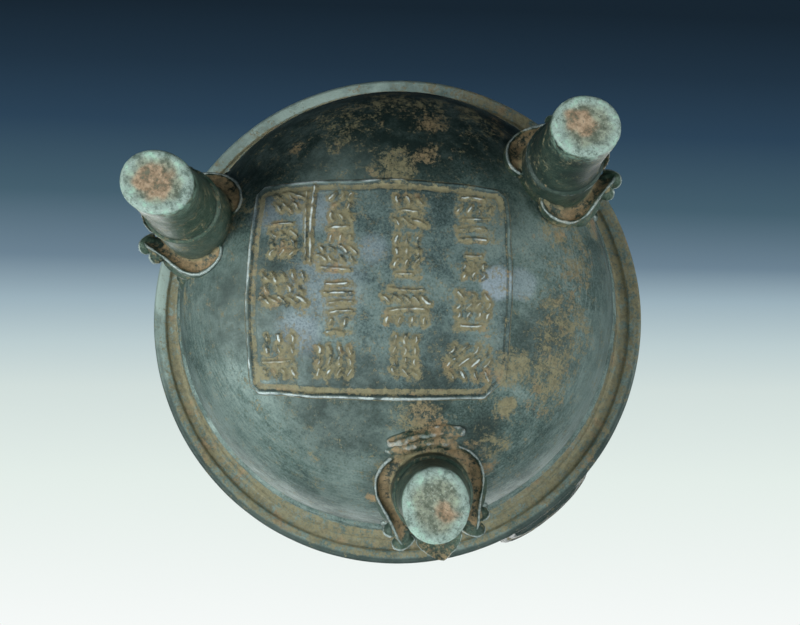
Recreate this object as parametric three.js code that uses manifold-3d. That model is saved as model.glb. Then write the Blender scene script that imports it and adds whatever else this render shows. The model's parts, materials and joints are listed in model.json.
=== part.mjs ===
// A round bronze ding, a tripod vessel for offerings: a deep bowl with a flat everted rim,
// two upright loop handles on the rim, and three legs that come out of the mouths of beast masks.
// Under the bowl a framed field holds columns of short cast strokes.
// It is one casting, so it is one solid. Millimetres, +Z up, standing on its feet at Z = 0.
// The handles stand on the X axis and one leg points along -Y.
import * as THREE from "three";
import { mergeVertices } from "three/addons/utils/BufferGeometryUtils.js";
import Module from "manifold-3d";

// ---- Driving dimensions ----
const RIM_RADIUS = 100;
const RIM_TOP = 135;
const BELLY_RADIUS = 84.8;
const BELLY_LEVEL = 106; // where the bowl is widest
const BASE_LEVEL = 37; // lowest point of the bowl's outside
const BELLY_FULLNESS = 2.5; // exponent of the bowl's superellipse
const WALL = 3.5;
const BAND_LOW = 101;
const BAND_HIGH = 114;
const BAND_RADIUS = 86.8;
const NECK_RADIUS = 83.2;

// Each leg's direction from the axis in degrees, its foot's distance from the axis, and how
// much higher its mask sits than the drawing: the casting is uneven.
const LEGS = [
  { turn: -87.9, reach: 80.6, lift: -4 },
  { turn: 28.7, reach: 80.2, lift: 0 },
  { turn: 149.3, reach: 85.6, lift: 4 },
];
const FOOT_RADIUS = 11.6;
const LEG_LEAN = 0.12; // inward, per unit of height
const RING_LEVEL = 35.5; // moulding where the leg leaves the mask
const RING_RADIUS = 14.1;
const HEAD_RADIUS = 17.5;

const HANDLE_WIDTH = 46;
const HANDLE_HEIGHT = 42;
const HANDLE_STRAP = 8;
const HANDLE_THICKNESS = 7;
const HANDLE_CENTRE = 94; // from the vessel's axis, on the rim
const HANDLE_LEAN = 0.175; // outward, per unit of height

const FIELD_WIDTH = 96;
const FIELD_HEIGHT = 80;
const FIELD_TURN = THREE.MathUtils.degToRad(-139.8);
const FIELD_OFFSET = [-5.8, -1]; // across and up, from the bowl's lowest point
const FRAME_WIDTH = 2.2;
const FRAME_RISE = 1.3;
const STROKE_WIDTH = 1.3;
const STROKE_RISE = 0.8;
// Groups of strokes: the middle across and up, the width and the height, column by column.
const GROUPS = [
  [34, 25.7, 15, 19],
  [34, 8.6, 10, 10.6],
  [34, -7.7, 14, 14],
  [33, -26, 17, 13],
  [10, 28, 12.5, 12],
  [10, 11, 11, 16.5],
  [10, -6.3, 18, 15],
  [10, -24.6, 11, 16],
  [-14, 25.4, 10, 20],
  [-15, 10, 15, 10.6],
  [-14, -2.3, 12.5, 10],
  [-14, -12.7, 10, 10.6],
  [-15, -26.6, 15, 12],
  [-34, 31.6, 10, 8.6],
  [-35, 17.7, 11, 14],
  [-34, -0.6, 17, 13],
  [-35, -24.6, 14, 16],
];
const DIVIDER = { across: -25.3, low: 9, high: 37 };

const TURN_SEGMENTS = 44;

const wasm = await Module();
wasm.setup();

// ---- Solids ----
// A three.js geometry as a manifold-3d solid.
function solid(geometry, matrix = new THREE.Matrix4()) {
  const bare = geometry.clone().applyMatrix4(matrix);
  for (const name of Object.keys(bare.attributes)) {
    if (name !== "position") bare.deleteAttribute(name);
  }
  const merged = mergeVertices(bare, 1e-4);
  return new wasm.Manifold(
    new wasm.Mesh({
      numProp: 3,
      vertProperties: merged.attributes.position.array,
      triVerts: new Uint32Array(merged.index.array),
    }),
  );
}

function joined(solids) {
  return solids.reduce((whole, piece) => whole.add(piece));
}

// A manifold-3d solid as a three.js geometry.
function geometryOf(manifold) {
  const mesh = manifold.getMesh();
  const geometry = new THREE.BufferGeometry();
  const points = new THREE.BufferAttribute(mesh.vertProperties, 3);
  geometry.setAttribute("position", points);
  geometry.setIndex(new THREE.BufferAttribute(mesh.triVerts, 1));
  geometry.computeVertexNormals();
  return geometry;
}

const place = (x, y, z) => new THREE.Matrix4().makeTranslation(x, y, z);

// Turns a closed profile of [radius, height] points round the Z axis.
function turned(profile, segments = TURN_SEGMENTS) {
  const points = profile.map(([r, z]) => new THREE.Vector2(r, z));
  const lathe = new THREE.LatheGeometry(points, segments);
  return solid(lathe, new THREE.Matrix4().makeRotationX(Math.PI / 2));
}

function ellipsoid(x, y, z, rx, ry, rz, sides = 6) {
  const ball = new THREE.SphereGeometry(1, sides, Math.ceil(sides / 2));
  return solid(ball, place(x, y, z).scale(new THREE.Vector3(rx, ry, rz)));
}

// A bar with flat ends and five sides along a smooth curve through points.
function bar(points, radius, steps = 5) {
  const curve = new THREE.CatmullRomCurve3(points.map((p) => new THREE.Vector3(...p)));
  const corners = Array.from({ length: 5 }, (_, i) => (i * Math.PI * 2) / 5);
  const section = new THREE.Shape(
    corners.map((a) => new THREE.Vector2(radius * Math.cos(a), radius * Math.sin(a))),
  );
  return solid(new THREE.ExtrudeGeometry(section, { steps, extrudePath: curve }));
}

// ---- The bowl ----
// A superellipse from the axis at the bottom up to the belly, as [radius, height] points.
function bellyCurve(radius, bottom, steps) {
  const power = 2 / BELLY_FULLNESS;
  return Array.from({ length: steps + 1 }, (_, i) => {
    const t = ((i / steps) * Math.PI) / 2;
    const r = radius * Math.sin(t) ** power;
    const z = BELLY_LEVEL - (BELLY_LEVEL - bottom) * Math.cos(t) ** power;
    return [i === 0 ? 0 : r, z];
  });
}

// The height of the bowl's outside at a distance from the axis.
function baseLevel(r) {
  const share = 1 - (r / BELLY_RADIUS) ** BELLY_FULLNESS;
  return BELLY_LEVEL - (BELLY_LEVEL - BASE_LEVEL) * share ** (1 / BELLY_FULLNESS);
}

// The outside of the bowl, filled, swollen downwards by the given rise.
function bowlOutside(rise = 0) {
  const belly = bellyCurve(BELLY_RADIUS + rise, BASE_LEVEL - rise, 11);
  const below = belly.filter(([, z]) => z < BAND_LOW - 2);
  return turned([
    ...below,
    [BELLY_RADIUS - 0.5, BAND_LOW - 0.4],
    [BAND_RADIUS - 0.4, BAND_LOW],
    [BAND_RADIUS, (BAND_LOW + BAND_HIGH) / 2],
    [BAND_RADIUS - 0.5, BAND_HIGH],
    [NECK_RADIUS + 0.5, BAND_HIGH + 1.4],
    [NECK_RADIUS, RIM_TOP - 14],
    [NECK_RADIUS + 2.2, RIM_TOP - 8.5],
    [RIM_RADIUS - 10, RIM_TOP - 6.2],
    [RIM_RADIUS - 8.8, RIM_TOP - 4.8],
    [RIM_RADIUS - 5.6, RIM_TOP - 4.8],
    [RIM_RADIUS - 5, RIM_TOP - 6],
    [RIM_RADIUS - 0.9, RIM_TOP - 6.2],
    [RIM_RADIUS, RIM_TOP - 5.2],
    [RIM_RADIUS, RIM_TOP - 0.8],
    [RIM_RADIUS - 0.8, RIM_TOP],
    [0, RIM_TOP],
  ]);
}

// The hollow of the bowl, reaching above the rim.
function bowlInside() {
  const belly = bellyCurve(BELLY_RADIUS - WALL, BASE_LEVEL + WALL, 7);
  return turned([
    ...belly,
    [BELLY_RADIUS - WALL + 0.4, BAND_HIGH],
    [NECK_RADIUS - WALL, RIM_TOP - 14],
    [NECK_RADIUS - WALL + 0.8, RIM_TOP - 6],
    [RIM_RADIUS - 14.5, RIM_TOP],
    [RIM_RADIUS - 14.3, RIM_TOP + 1],
    [0, RIM_TOP + 1],
  ]);
}

// ---- The legs, made pointing along +X with their axis through the origin ----
// A leg with the beast's head above its ring, turned as one. lift raises the head.
function legAndHead(lift) {
  const crown = RING_LEVEL + lift;
  return turned(
    [
      [0, 0],
      [FOOT_RADIUS - 1.1, 0],
      [FOOT_RADIUS, 1.4],
      [FOOT_RADIUS + 0.3, 20],
      [RING_RADIUS - 1.3, RING_LEVEL - 2.4],
      [RING_RADIUS, RING_LEVEL - 1],
      [RING_RADIUS - 0.3, RING_LEVEL + 1.4],
      [RING_RADIUS + 0.6, crown + 8],
      [HEAD_RADIUS - 1, crown + 20],
      [HEAD_RADIUS, crown + 30],
      [HEAD_RADIUS - 1.2, crown + 43],
      [HEAD_RADIUS - 7, crown + 53],
      [0, crown + 57],
    ],
    16,
  );
}

// A point round the leg: distance from its axis, angle from outwards, height.
function aroundLeg(distance, degrees, z) {
  const a = THREE.MathUtils.degToRad(degrees);
  return [distance * Math.cos(a), distance * Math.sin(a), z];
}

// One side of the beast's face. side is 1 or -1.
function maskSide(side, lift) {
  const at = (distance, degrees, z) => aroundLeg(distance, side * degrees, z + lift);
  const lip = bar(
    [at(14, 134, 54), at(17.4, 116, 56), at(17, 92, 57), at(16, 67, 58), at(18, 48, 61), at(20.5, 36, 64)],
    2.6,
  );
  const jowl = bar([at(14, 126, 62), at(16.5, 95, 65), at(15, 62, 68), at(14, 35, 70)], 4.2, 3);
  const curl = ellipsoid(...at(21, 37, 66), 3.6, 3.4, 4);
  const eye = ellipsoid(...at(16.2, 30, 80), 4.8, 4.6, 4.4);
  const brow = bar([at(13, 10, 88), at(15.5, 30, 90), at(16.5, 54, 87), at(16, 76, 80)], 2.8, 4);
  const ear = ellipsoid(...at(18.5, 88, 78), 3.6, 6, 5);
  return [lip, jowl, curl, eye, brow, ear];
}

// The snout, a blunt wedge that points outwards over the leg.
function snout(lift) {
  const wedge = new THREE.ConeGeometry(9.5, 20.6, 8);
  const flat = new THREE.Matrix4().makeScale(1, 1, 0.62);
  const outwards = new THREE.Matrix4().makeRotationZ(-Math.PI / 2);
  return solid(wedge, place(17.7, 0, 71 + lift).multiply(flat).multiply(outwards));
}

function beastLeg({ turn, reach, lift }) {
  const upright = joined([legAndHead(lift), snout(lift), ...maskSide(1, lift), ...maskSide(-1, lift)]);
  const stand = new THREE.Matrix4().makeRotationZ(THREE.MathUtils.degToRad(turn));
  const lean = new THREE.Matrix4().makeShear(0, 0, 0, 0, -LEG_LEAN, 0).setPosition(reach, 0, 0);
  return upright.transform(stand.multiply(lean).elements);
}

// ---- The handles ----
// An upright arch's outline from a foot level, below the rim's top, up to a height above it.
function archOutline(width, foot, height) {
  const half = width / 2;
  const round = half * 0.78;
  const outline = new THREE.Shape();
  outline.moveTo(-half, foot);
  outline.lineTo(half, foot);
  outline.lineTo(half, height - round);
  outline.quadraticCurveTo(half, height, half - round, height);
  outline.lineTo(round - half, height);
  outline.quadraticCurveTo(-half, height, -half, height - round);
  outline.closePath();
  return outline;
}

// The handle on the +X side, bent to the rim's curve and leaned outwards.
function handle() {
  const loop = archOutline(HANDLE_WIDTH, -4.2, HANDLE_HEIGHT);
  loop.holes.push(archOutline(HANDLE_WIDTH - 2 * HANDLE_STRAP, -1, HANDLE_HEIGHT - HANDLE_STRAP));
  const bevel = 1.4;
  const slab = new THREE.ExtrudeGeometry(loop, {
    depth: HANDLE_THICKNESS - 2 * bevel,
    steps: 1,
    curveSegments: 5,
    bevelThickness: bevel,
    bevelSize: bevel,
    bevelOffset: -bevel,
    bevelSegments: 1,
  });
  slab.translate(0, 0, bevel - HANDLE_THICKNESS / 2);
  const points = slab.attributes.position;
  for (let i = 0; i < points.count; i += 1) {
    const turn = points.getX(i) / HANDLE_CENTRE;
    const radius = HANDLE_CENTRE + points.getZ(i) + HANDLE_LEAN * points.getY(i);
    points.setXYZ(i, radius * Math.cos(turn), radius * Math.sin(turn), RIM_TOP + points.getY(i));
  }
  return solid(slab);
}

// ---- The framed field of strokes under the bowl ----
// Across and up are in the field's own plan, as seen from below.
function onField(across, up) {
  const u = up + FIELD_OFFSET[1];
  const a = across + FIELD_OFFSET[0];
  const x = u * Math.cos(FIELD_TURN) - a * Math.sin(FIELD_TURN);
  const y = u * Math.sin(FIELD_TURN) + a * Math.cos(FIELD_TURN);
  return [x, y];
}

// A rectangle in plan whose sides bulge, inset by the given width.
function fieldOutline(inset, Path = THREE.Shape) {
  const w = FIELD_WIDTH / 2 - inset;
  const h = FIELD_HEIGHT / 2 - inset;
  const cut = 2.2;
  const bulge = 1.06;
  const corner = 0.94;
  const at = (across, up) => onField(across, up);
  const outline = new Path();
  outline.moveTo(...at(-w * corner, -h * corner + cut));
  outline.quadraticCurveTo(...at(-w * bulge, 0), ...at(-w * corner, h * corner - cut));
  outline.lineTo(...at(-w * corner + cut, h * corner));
  outline.quadraticCurveTo(...at(0, h * bulge), ...at(w * corner - cut, h * corner));
  outline.lineTo(...at(w * corner, h * corner - cut));
  outline.quadraticCurveTo(...at(w * bulge, 0), ...at(w * corner, -h * corner + cut));
  outline.lineTo(...at(w * corner - cut, -h * corner));
  outline.quadraticCurveTo(...at(0, -h * bulge), ...at(-w * corner + cut, -h * corner));
  outline.closePath();
  return outline;
}

function prism(shape) {
  return solid(new THREE.ExtrudeGeometry(shape, { depth: 40, curveSegments: 5, bevelEnabled: false }), place(0, 0, 30));
}

// A small seeded generator, so that the strokes are the same each time.
function* fractions(seed) {
  let state = seed;
  while (true) {
    state = (state * 1103515245 + 12345) % 2147483648;
    yield state / 2147483648;
  }
}

// A low ridge lying on the bowl's underside, at an angle from the field's upward direction.
function stroke([across, up, length, angle]) {
  const [x, y] = onField(across, up);
  const r = Math.hypot(x, y);
  const slope = (baseLevel(r + 0.5) - baseLevel(r)) / 0.5;
  const outwards = new THREE.Vector3((slope * x) / r, (slope * y) / r, -1).normalize();
  const turn = FIELD_TURN + angle;
  const along = new THREE.Vector3(Math.cos(turn), Math.sin(turn), 0);
  along.addScaledVector(outwards, -along.dot(outwards)).normalize();
  const beside = new THREE.Vector3().crossVectors(outwards, along);
  const frame = new THREE.Matrix4().makeBasis(beside, outwards, along);
  frame.setPosition(x, y, baseLevel(r));
  const roof = new THREE.Shape([
    new THREE.Vector2(-STROKE_WIDTH, -STROKE_RISE),
    new THREE.Vector2(STROKE_WIDTH, -STROKE_RISE),
    new THREE.Vector2(0, STROKE_RISE),
  ]);
  const ridge = new THREE.ExtrudeGeometry(roof, { depth: length, bevelEnabled: false });
  return solid(ridge, frame.multiply(place(0, 0, -length / 2)));
}

// The strokes of one group, in rows: a level one, or two short upright ones side by side.
function groupStrokes([across, up, width, height], draw) {
  const rows = Math.round(height / 4);
  const made = [];
  for (let row = 0; row < rows; row += 1) {
    const level = up + height * ((rows - row - 0.5) / rows - 0.5);
    if (draw() < 0.55) {
      const length = width * (0.5 + 0.4 * draw());
      made.push([across + (draw() - 0.5) * 2, level, length, Math.PI / 2 + (draw() - 0.5) * 0.3]);
    } else {
      const spread = width * (0.22 + 0.12 * draw());
      made.push([across - spread, level, 2.4 + draw() * 0.6, (draw() - 0.5) * 0.9]);
      made.push([across + spread, level, 2.4 + draw() * 0.6, (draw() - 0.5) * 0.9]);
    }
  }
  return made;
}

// Rows of short strokes in place of writing. They are not letters.
function strokes() {
  const next = fractions(1528);
  const draw = () => next.next().value;
  const written = GROUPS.flatMap((group) => groupStrokes(group, draw));
  const { across, low, high } = DIVIDER;
  const half = (high - low) / 2;
  return [...written, [across, low + half / 2, half, 0], [across, high - half / 2, half, 0]].map(stroke);
}

function inscribedField() {
  const ring = fieldOutline(0);
  ring.holes.push(fieldOutline(FRAME_WIDTH, THREE.Path));
  const frame = bowlOutside(FRAME_RISE).intersect(prism(ring));
  return [frame, ...strokes()];
}

// ---- The whole ----
function vessel() {
  const outside = joined([bowlOutside(), ...LEGS.map(beastLeg), handle(), handle().rotate([0, 0, 180]), ...inscribedField()]);
  return outside.subtract(bowlInside());
}

const bronze = new THREE.MeshStandardMaterial({ color: 0x3c4a48, roughness: 0.5, metalness: 0.7 });
const ding = new THREE.Mesh(geometryOf(vessel()), bronze);
ding.name = "ding_vessel";

const part = new THREE.Group();
part.add(ding);
export default part;
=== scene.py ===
"""A round bronze ding: a tripod vessel with two loop handles and three beast-mask legs.

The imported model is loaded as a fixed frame, and each operator adds one piece of the
finished casting in its place: the turned bowl, the framed field of strokes under it,
the legs with their masks, the handles and the band of thunder pattern. Objects are in
metres. The tables of shapes below are in millimetres.
"""
import json
import math
from contextlib import contextmanager
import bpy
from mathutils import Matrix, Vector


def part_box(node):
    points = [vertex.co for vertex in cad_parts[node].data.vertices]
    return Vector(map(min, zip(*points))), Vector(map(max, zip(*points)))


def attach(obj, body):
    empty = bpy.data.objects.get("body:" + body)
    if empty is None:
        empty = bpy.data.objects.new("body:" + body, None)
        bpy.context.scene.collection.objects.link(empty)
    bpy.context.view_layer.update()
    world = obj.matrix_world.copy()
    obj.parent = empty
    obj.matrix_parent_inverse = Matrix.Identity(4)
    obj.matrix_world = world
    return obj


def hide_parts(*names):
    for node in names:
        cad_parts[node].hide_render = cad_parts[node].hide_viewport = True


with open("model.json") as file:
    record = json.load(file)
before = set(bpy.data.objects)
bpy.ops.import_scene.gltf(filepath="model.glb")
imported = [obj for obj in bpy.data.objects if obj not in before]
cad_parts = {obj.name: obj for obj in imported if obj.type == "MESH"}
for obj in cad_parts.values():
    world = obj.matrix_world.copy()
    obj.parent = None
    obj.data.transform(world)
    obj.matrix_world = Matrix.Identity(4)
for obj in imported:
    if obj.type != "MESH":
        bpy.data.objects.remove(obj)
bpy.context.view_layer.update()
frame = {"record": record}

from types import SimpleNamespace

import bpy
import numpy as np
from bpy.props import (
    FloatProperty,
    FloatVectorProperty,
    IntProperty,
    PointerProperty,
)
from mathutils import Matrix, Vector, noise

bl_info = {
    "name": "Bronze ding",
    "version": (1, 0, 0),
    "blender": (4, 5, 0),
    "location": "3D View > Sidebar > Ding",
    "description": "Builds a cast bronze tripod vessel with beast-mask legs",
    "category": "Add Mesh",
}

MM = 0.001
NODE = "ding_vessel"
RIM_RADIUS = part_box(NODE)[1][1] / MM

# The bowl's profile.
RIM_TOP = 135.0
BELLY_RADIUS = 84.8
BELLY_LEVEL = 106.0
BASE_LEVEL = 37.0
BELLY_FULLNESS = 2.5
WALL = 3.5
BAND_LOW = 101.0
BAND_HIGH = 114.0
# The radius on which the thunder pattern is divided, and where the middle of its line lies.
BAND_RADIUS = 86.8
PATTERN_RADIUS = 86.2

# The legs: how far they lean for each step up, how much higher each mask sits, the slab of
# wall round a root, and how deep a root goes into the wall.
LEG_LEAN = 0.12
LEG_LIFTS = {"front": -4.0, "right": 0.0, "left": 4.0}
SLAB_PROUD = 0.14
SLAB_DEPTH = 3.2
ROOT_DEPTH = 2.4

# The handles: their outline, how far from the axis they stand and how far they lean for
# each step up.
HANDLE_WIDTH = 46.0
HANDLE_HEIGHT = 42.0
HANDLE_CENTRE = 94.0
HANDLE_LEAN = 0.175
HANDLE_GRAIN = 0.55
# How far its skin stays back, so that the uneven handle keeps to its size.
HANDLE_BACK = 0.17

# The framed field: its plan, seen from below, and the groups of strokes in it as
# the middle across and up, the width and the height.
FIELD_WIDTH = 96.0
FIELD_HEIGHT = 80.0
FIELD_TURN = math.radians(-139.8)
FIELD_OFFSET = (-5.8, -1.0)
GROUPS = [
    (34, 25.7, 15, 19),
    (34, 8.6, 10, 10.6),
    (34, -7.7, 14, 14),
    (33, -26, 17, 13),
    (10, 28, 12.5, 12),
    (10, 11, 11, 16.5),
    (10, -6.3, 18, 15),
    (10, -24.6, 11, 16),
    (-14, 25.4, 10, 20),
    (-15, 10, 15, 10.6),
    (-14, -2.3, 12.5, 10),
    (-14, -12.7, 10, 10.6),
    (-15, -26.6, 15, 12),
    (-34, 31.6, 10, 8.6),
    (-35, 17.7, 11, 14),
    (-34, -0.6, 17, 13),
    (-35, -24.6, 14, 16),
]

# The camera looks up at the vessel's underside. Its right, its down and its view direction.
CAMERA_PLACE = Vector((0.07294, 0.04996, -0.55989))
CAMERA_RIGHT = Vector((0.62746, -0.77861, 0.00822))
CAMERA_DOWN = Vector((0.77139, 0.62301, 0.12965))
CAMERA_FORWARD = Vector((-0.10607, -0.07501, 0.99153))
LENS = 76.23
SENSOR_WIDTH = 36.0
# The view's height over its width.
VIEW_ASPECT = 0.78125
BACKDROP_LEVEL = 0.26


# ---- Sizes and colours that a user would change ----
def length(name, description, millimetres):
    return FloatProperty(
        name=name, description=description, default=millimetres * MM, min=0.0, unit="LENGTH"
    )


def colour(name, description, value):
    return FloatVectorProperty(
        name=name, description=description, default=value, size=3, min=0.0, max=1.0, subtype="COLOR"
    )


class DingSizes(bpy.types.PropertyGroup):
    turns: IntProperty(name="Turned steps", description="Steps round the bowl", default=288, min=48)
    grain: length("Casting grain", "Voxel size of the modelled legs", 0.5)
    field_grain: length("Field grain", "Spacing of the relief under the bowl", 0.4)
    stroke_rise: length("Stroke rise", "Height of the cast strokes over the ground", 0.95)
    frame_rise: length("Frame rise", "Height of the line round the field", 1.15)
    unevenness: length("Unevenness", "How far the hand-made casting strays from true", 0.35)
    handle_strap: length("Handle strap", "Width of the handle's strap", 8.0)
    handle_thickness: length("Handle thickness", "Thickness of the handle's strap", 7.0)
    pattern_line: length("Pattern line", "Half the width of the thunder pattern's line", 0.42)
    pattern_units: IntProperty(
        name="Pattern units", description="Spirals round the band", default=76, min=12
    )


class DingColours(bpy.types.PropertyGroup):
    slate: colour("Slate patina", "The main grey-green of the worn bronze", (0.046, 0.090, 0.081))
    field: colour("Field patina", "The bluer ground between the strokes", (0.044, 0.084, 0.089))
    leg: colour("Leg patina", "The darker, greener bronze of the legs", (0.025, 0.056, 0.036))
    # The dark patina also serves as painted shade: in the shaded places, in the darkened hollows, on the
    # rim's brink and beside the field's strokes.
    night: colour("Dark patina", "Nearly black patina in sheltered places", (0.009, 0.022, 0.019))
    # Also the painted sheen in the pale places.
    worn: colour("Worn patina", "Paler rubbed bronze", (0.198, 0.262, 0.243))
    leg_worn: colour("Worn leg", "Paler rubbed bronze of the legs", (0.100, 0.145, 0.112))
    # Also a painted sheen on the rim's upper-left side.
    lip: colour("Rubbed rim", "The rim's pale edge", (0.300, 0.390, 0.360))
    # Also a painted bluish sheen on the field's left.
    scuff_and_sheen: colour("Scuffs", "Bluish scuffed patches by the frame", (0.300, 0.365, 0.420))
    earth: colour("Earth", "Olive-ochre soil held in hollows", (0.225, 0.198, 0.108))
    rust: colour("Red earth", "Orange-brown soil and cuprite", (0.360, 0.215, 0.110))
    verdigris: colour("Verdigris", "Pale mint corrosion on the feet", (0.320, 0.520, 0.420))
    # Also a painted highlight along the crests, above all on the field's.
    bright: colour("Bright edges", "Rubbed metal on the sharpest edges", (0.60, 0.69, 0.70))


def sizes():
    return bpy.context.scene.ding_sizes


def colours():
    return bpy.context.scene.ding_colours


# ---- Modelling by hand ----
def deselect():
    bpy.ops.object.select_all(action="DESELECT")


def only(obj):
    deselect()
    obj.select_set(True)
    bpy.context.view_layer.objects.active = obj
    return obj


@contextmanager
def edit_mode(obj):
    """Edit mode on one object, with everything in it selected."""
    only(obj)
    bpy.ops.object.mode_set(mode="EDIT")
    bpy.ops.mesh.select_all(action="SELECT")
    try:
        yield
    finally:
        bpy.ops.object.mode_set(mode="OBJECT")


def tidy(obj):
    """Merges doubles, drops loose edges and turns every face outwards."""
    with edit_mode(obj):
        bpy.ops.mesh.remove_doubles(threshold=MM / 1000)
        bpy.ops.mesh.delete_loose()
        bpy.ops.mesh.select_all(action="SELECT")
        bpy.ops.mesh.normals_make_consistent(inside=False)
    return obj


def use(obj, kind, **settings):
    """Adds a modifier with these settings and applies it."""
    only(obj)
    modifier = obj.modifiers.new(kind.title(), kind)
    for name, value in settings.items():
        setattr(modifier, name, value)
    bpy.ops.object.modifier_apply(modifier=modifier.name)
    return obj


def joined(parts, name):
    deselect()
    for part in parts:
        part.select_set(True)
    bpy.context.view_layer.objects.active = parts[0]
    if len(parts) > 1:
        bpy.ops.object.join()
    parts[0].name = parts[0].data.name = name
    return parts[0]


def turned(name, profile, steps, sweep=math.tau):
    """A closed strip of (radius, height) points spun round the Z axis, middle along +X."""
    deselect()
    bpy.ops.mesh.primitive_circle_add(vertices=len(profile), radius=MM)
    obj = bpy.context.object
    obj.name = name
    whole = sweep == math.tau
    start = Matrix.Rotation(0.0 if whole else -sweep / 2, 4, "Z")
    for vertex, (radius, level) in zip(obj.data.vertices, profile):
        vertex.co = start @ (Vector((radius, 0, level)) * MM)
    with edit_mode(obj):
        bpy.ops.mesh.spin(steps=steps, angle=sweep, center=(0, 0, 0), axis=(0, 0, 1))
        if not whole:
            bpy.ops.mesh.select_all(action="DESELECT")
            bpy.ops.mesh.select_non_manifold()
            bpy.ops.mesh.fill()
    return tidy(obj)


def new_curve(name, **settings):
    """An empty curve in space whose ends will be filled."""
    curve = bpy.data.curves.new(name, "CURVE")
    curve.dimensions = "3D"
    curve.use_fill_caps = True
    for key, value in settings.items():
        setattr(curve, key, value)
    return curve


def add_line(curve, points, closed=False):
    """Adds a line of straight runs through points in millimetres."""
    line = curve.splines.new("POLY")
    line.points.add(len(points) - 1)
    line.use_cyclic_u = closed
    for knot, point in zip(line.points, points):
        knot.co = (*(value * MM for value in point), 1)


def meshed(curve):
    """The curve as a mesh object of its name."""
    obj = bpy.data.objects.new(curve.name, curve)
    bpy.context.collection.objects.link(obj)
    only(obj)
    bpy.ops.object.convert(target="MESH")
    return tidy(obj)


def rod(points, radii):
    """A smooth rod through points, with a radius at each."""
    curve = new_curve("rod", bevel_depth=MM, bevel_resolution=3, resolution_u=5)
    spline = curve.splines.new("BEZIER")
    spline.bezier_points.add(len(points) - 1)
    for knot, point, radius in zip(spline.bezier_points, points, radii):
        knot.co = Vector(point) * MM
        knot.radius = radius
        knot.handle_left_type = knot.handle_right_type = "AUTO"
    return meshed(curve)


def ball(point, radii, turn=(0, 0, 0), segments=20):
    """An ellipsoid at a point."""
    deselect()
    bpy.ops.mesh.primitive_uv_sphere_add(
        segments=segments,
        ring_count=segments // 2,
        radius=1.0,
        location=Vector(point) * MM,
        rotation=[math.radians(a) for a in turn],
        scale=[r * MM for r in radii],
    )
    bpy.ops.object.transform_apply(location=True, rotation=True, scale=True)
    return bpy.context.object


def points_of(obj, kind="co"):
    values = np.empty(len(obj.data.vertices) * 3, dtype=np.float32)
    obj.data.vertices.foreach_get(kind, values)
    return values.reshape(-1, 3).astype(float)


def set_points(obj, points):
    obj.data.vertices.foreach_set("co", points.astype(np.float32).ravel())
    obj.data.update()


def smoothstep(value, low, high):
    t = np.clip((value - low) / (high - low), 0.0, 1.0)
    return t * t * (3 - 2 * t)


def noise_at(points, pitch, offset=0.0):
    """Smooth noise from -1 to 1 at points in metres, with features of the given pitch."""
    shift = Vector((offset, offset * 0.7, -offset))
    return np.array([noise.noise(Vector(p) / (pitch * MM) + shift) for p in points])


def layers_at(points, *layers):
    """A sum of noises, each given as its pitch, offset and height."""
    return sum(noise_at(points, pitch, offset) * height for pitch, offset, height in layers)


def settle(obj):
    """Moves a piece as one with its neighbours, the way an uneven mould would."""
    points = points_of(obj)
    level = points[:, 2] / MM
    outwards = points - np.array([0.0, 0.0, BELLY_LEVEL * MM])
    outwards[:, 2] *= smoothstep(level, 128, 100)
    outwards /= np.maximum(np.linalg.norm(outwards, axis=1), 1e-6)[:, None]
    stray = layers_at(points, (34.0, 0.0, 0.7), (13.0, 7.0, 0.3))
    # The soles and the rim's top stay true.
    free = smoothstep(level, 6, 30) * smoothstep(level, 138, 124)
    points += outwards * (stray * free * sizes().unevenness)[:, None]
    set_points(obj, points)


def store(obj, name, values):
    """Keeps a value from 0 to 1 at each point for the material."""
    attribute = obj.data.attributes.new(name, "FLOAT", "POINT")
    attribute.data.foreach_set("value", np.clip(values, 0, 1).astype(np.float32))


def mark_relief(obj, fine=(2, 88, 99.3), broad=(22, 78, 98.5), dull=0.0):
    """Finds crests and hollows by comparing the surface with a smoothed copy of itself.

    Each triple is the rounds of smoothing, and the shares of all points, in percent,
    below which there is none and above which it is full. Dull places have no bright crests.
    """
    points = points_of(obj)
    normals = points_of(obj, "normal")
    ends = np.empty(len(obj.data.edges) * 2, dtype=np.int32)
    obj.data.edges.foreach_get("vertices", ends)
    a, b = ends.reshape(-1, 2).T
    count = len(points)
    share = 1.0 / np.maximum(np.bincount(ends, minlength=count), 1)

    def smoothed(values, rounds):
        for _ in range(rounds):
            columns = []
            for axis in range(values.shape[1]):
                column = values[:, axis]
                total = np.bincount(a, column[b], count) + np.bincount(b, column[a], count)
                columns.append(total * share)
            values = np.stack(columns, axis=1)
        return values

    def stands_out(sign, rounds, none, full):
        height = sign * ((points - smoothed(points, rounds)) * normals).sum(axis=1)
        height = smoothed(height[:, None], 1)[:, 0]
        low, high = np.percentile(height, (none, full))
        return (height - low) / (high - low)

    # Crests are rubbed bright, and the material also paints a highlight on them.
    store(obj, "crest", stands_out(1, *fine) * (1 - dull))
    # The hollows hold soil, and the material darkens them as painted shade.
    store(obj, "hollow", stands_out(-1, *broad))


def finish(obj, material, angle=50.0):
    """Shades a finished piece, gives it its material and puts it in the frame."""
    only(obj)
    bpy.ops.object.shade_smooth_by_angle(angle=math.radians(angle))
    obj.data.materials.clear()
    obj.data.materials.append(material)
    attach(obj, "root")
    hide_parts(NODE)
    return obj


# ---- Shapes ----
def belly_curve(radius, bottom, steps):
    """A superellipse from the axis at the bottom up to the belly."""
    power = 2 / BELLY_FULLNESS
    curve = []
    for i in range(steps + 1):
        t = i / steps * math.pi / 2
        level = BELLY_LEVEL - (BELLY_LEVEL - bottom) * max(math.cos(t), 0.0) ** power
        curve.append((radius * math.sin(t) ** power, level))
    return curve


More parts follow.
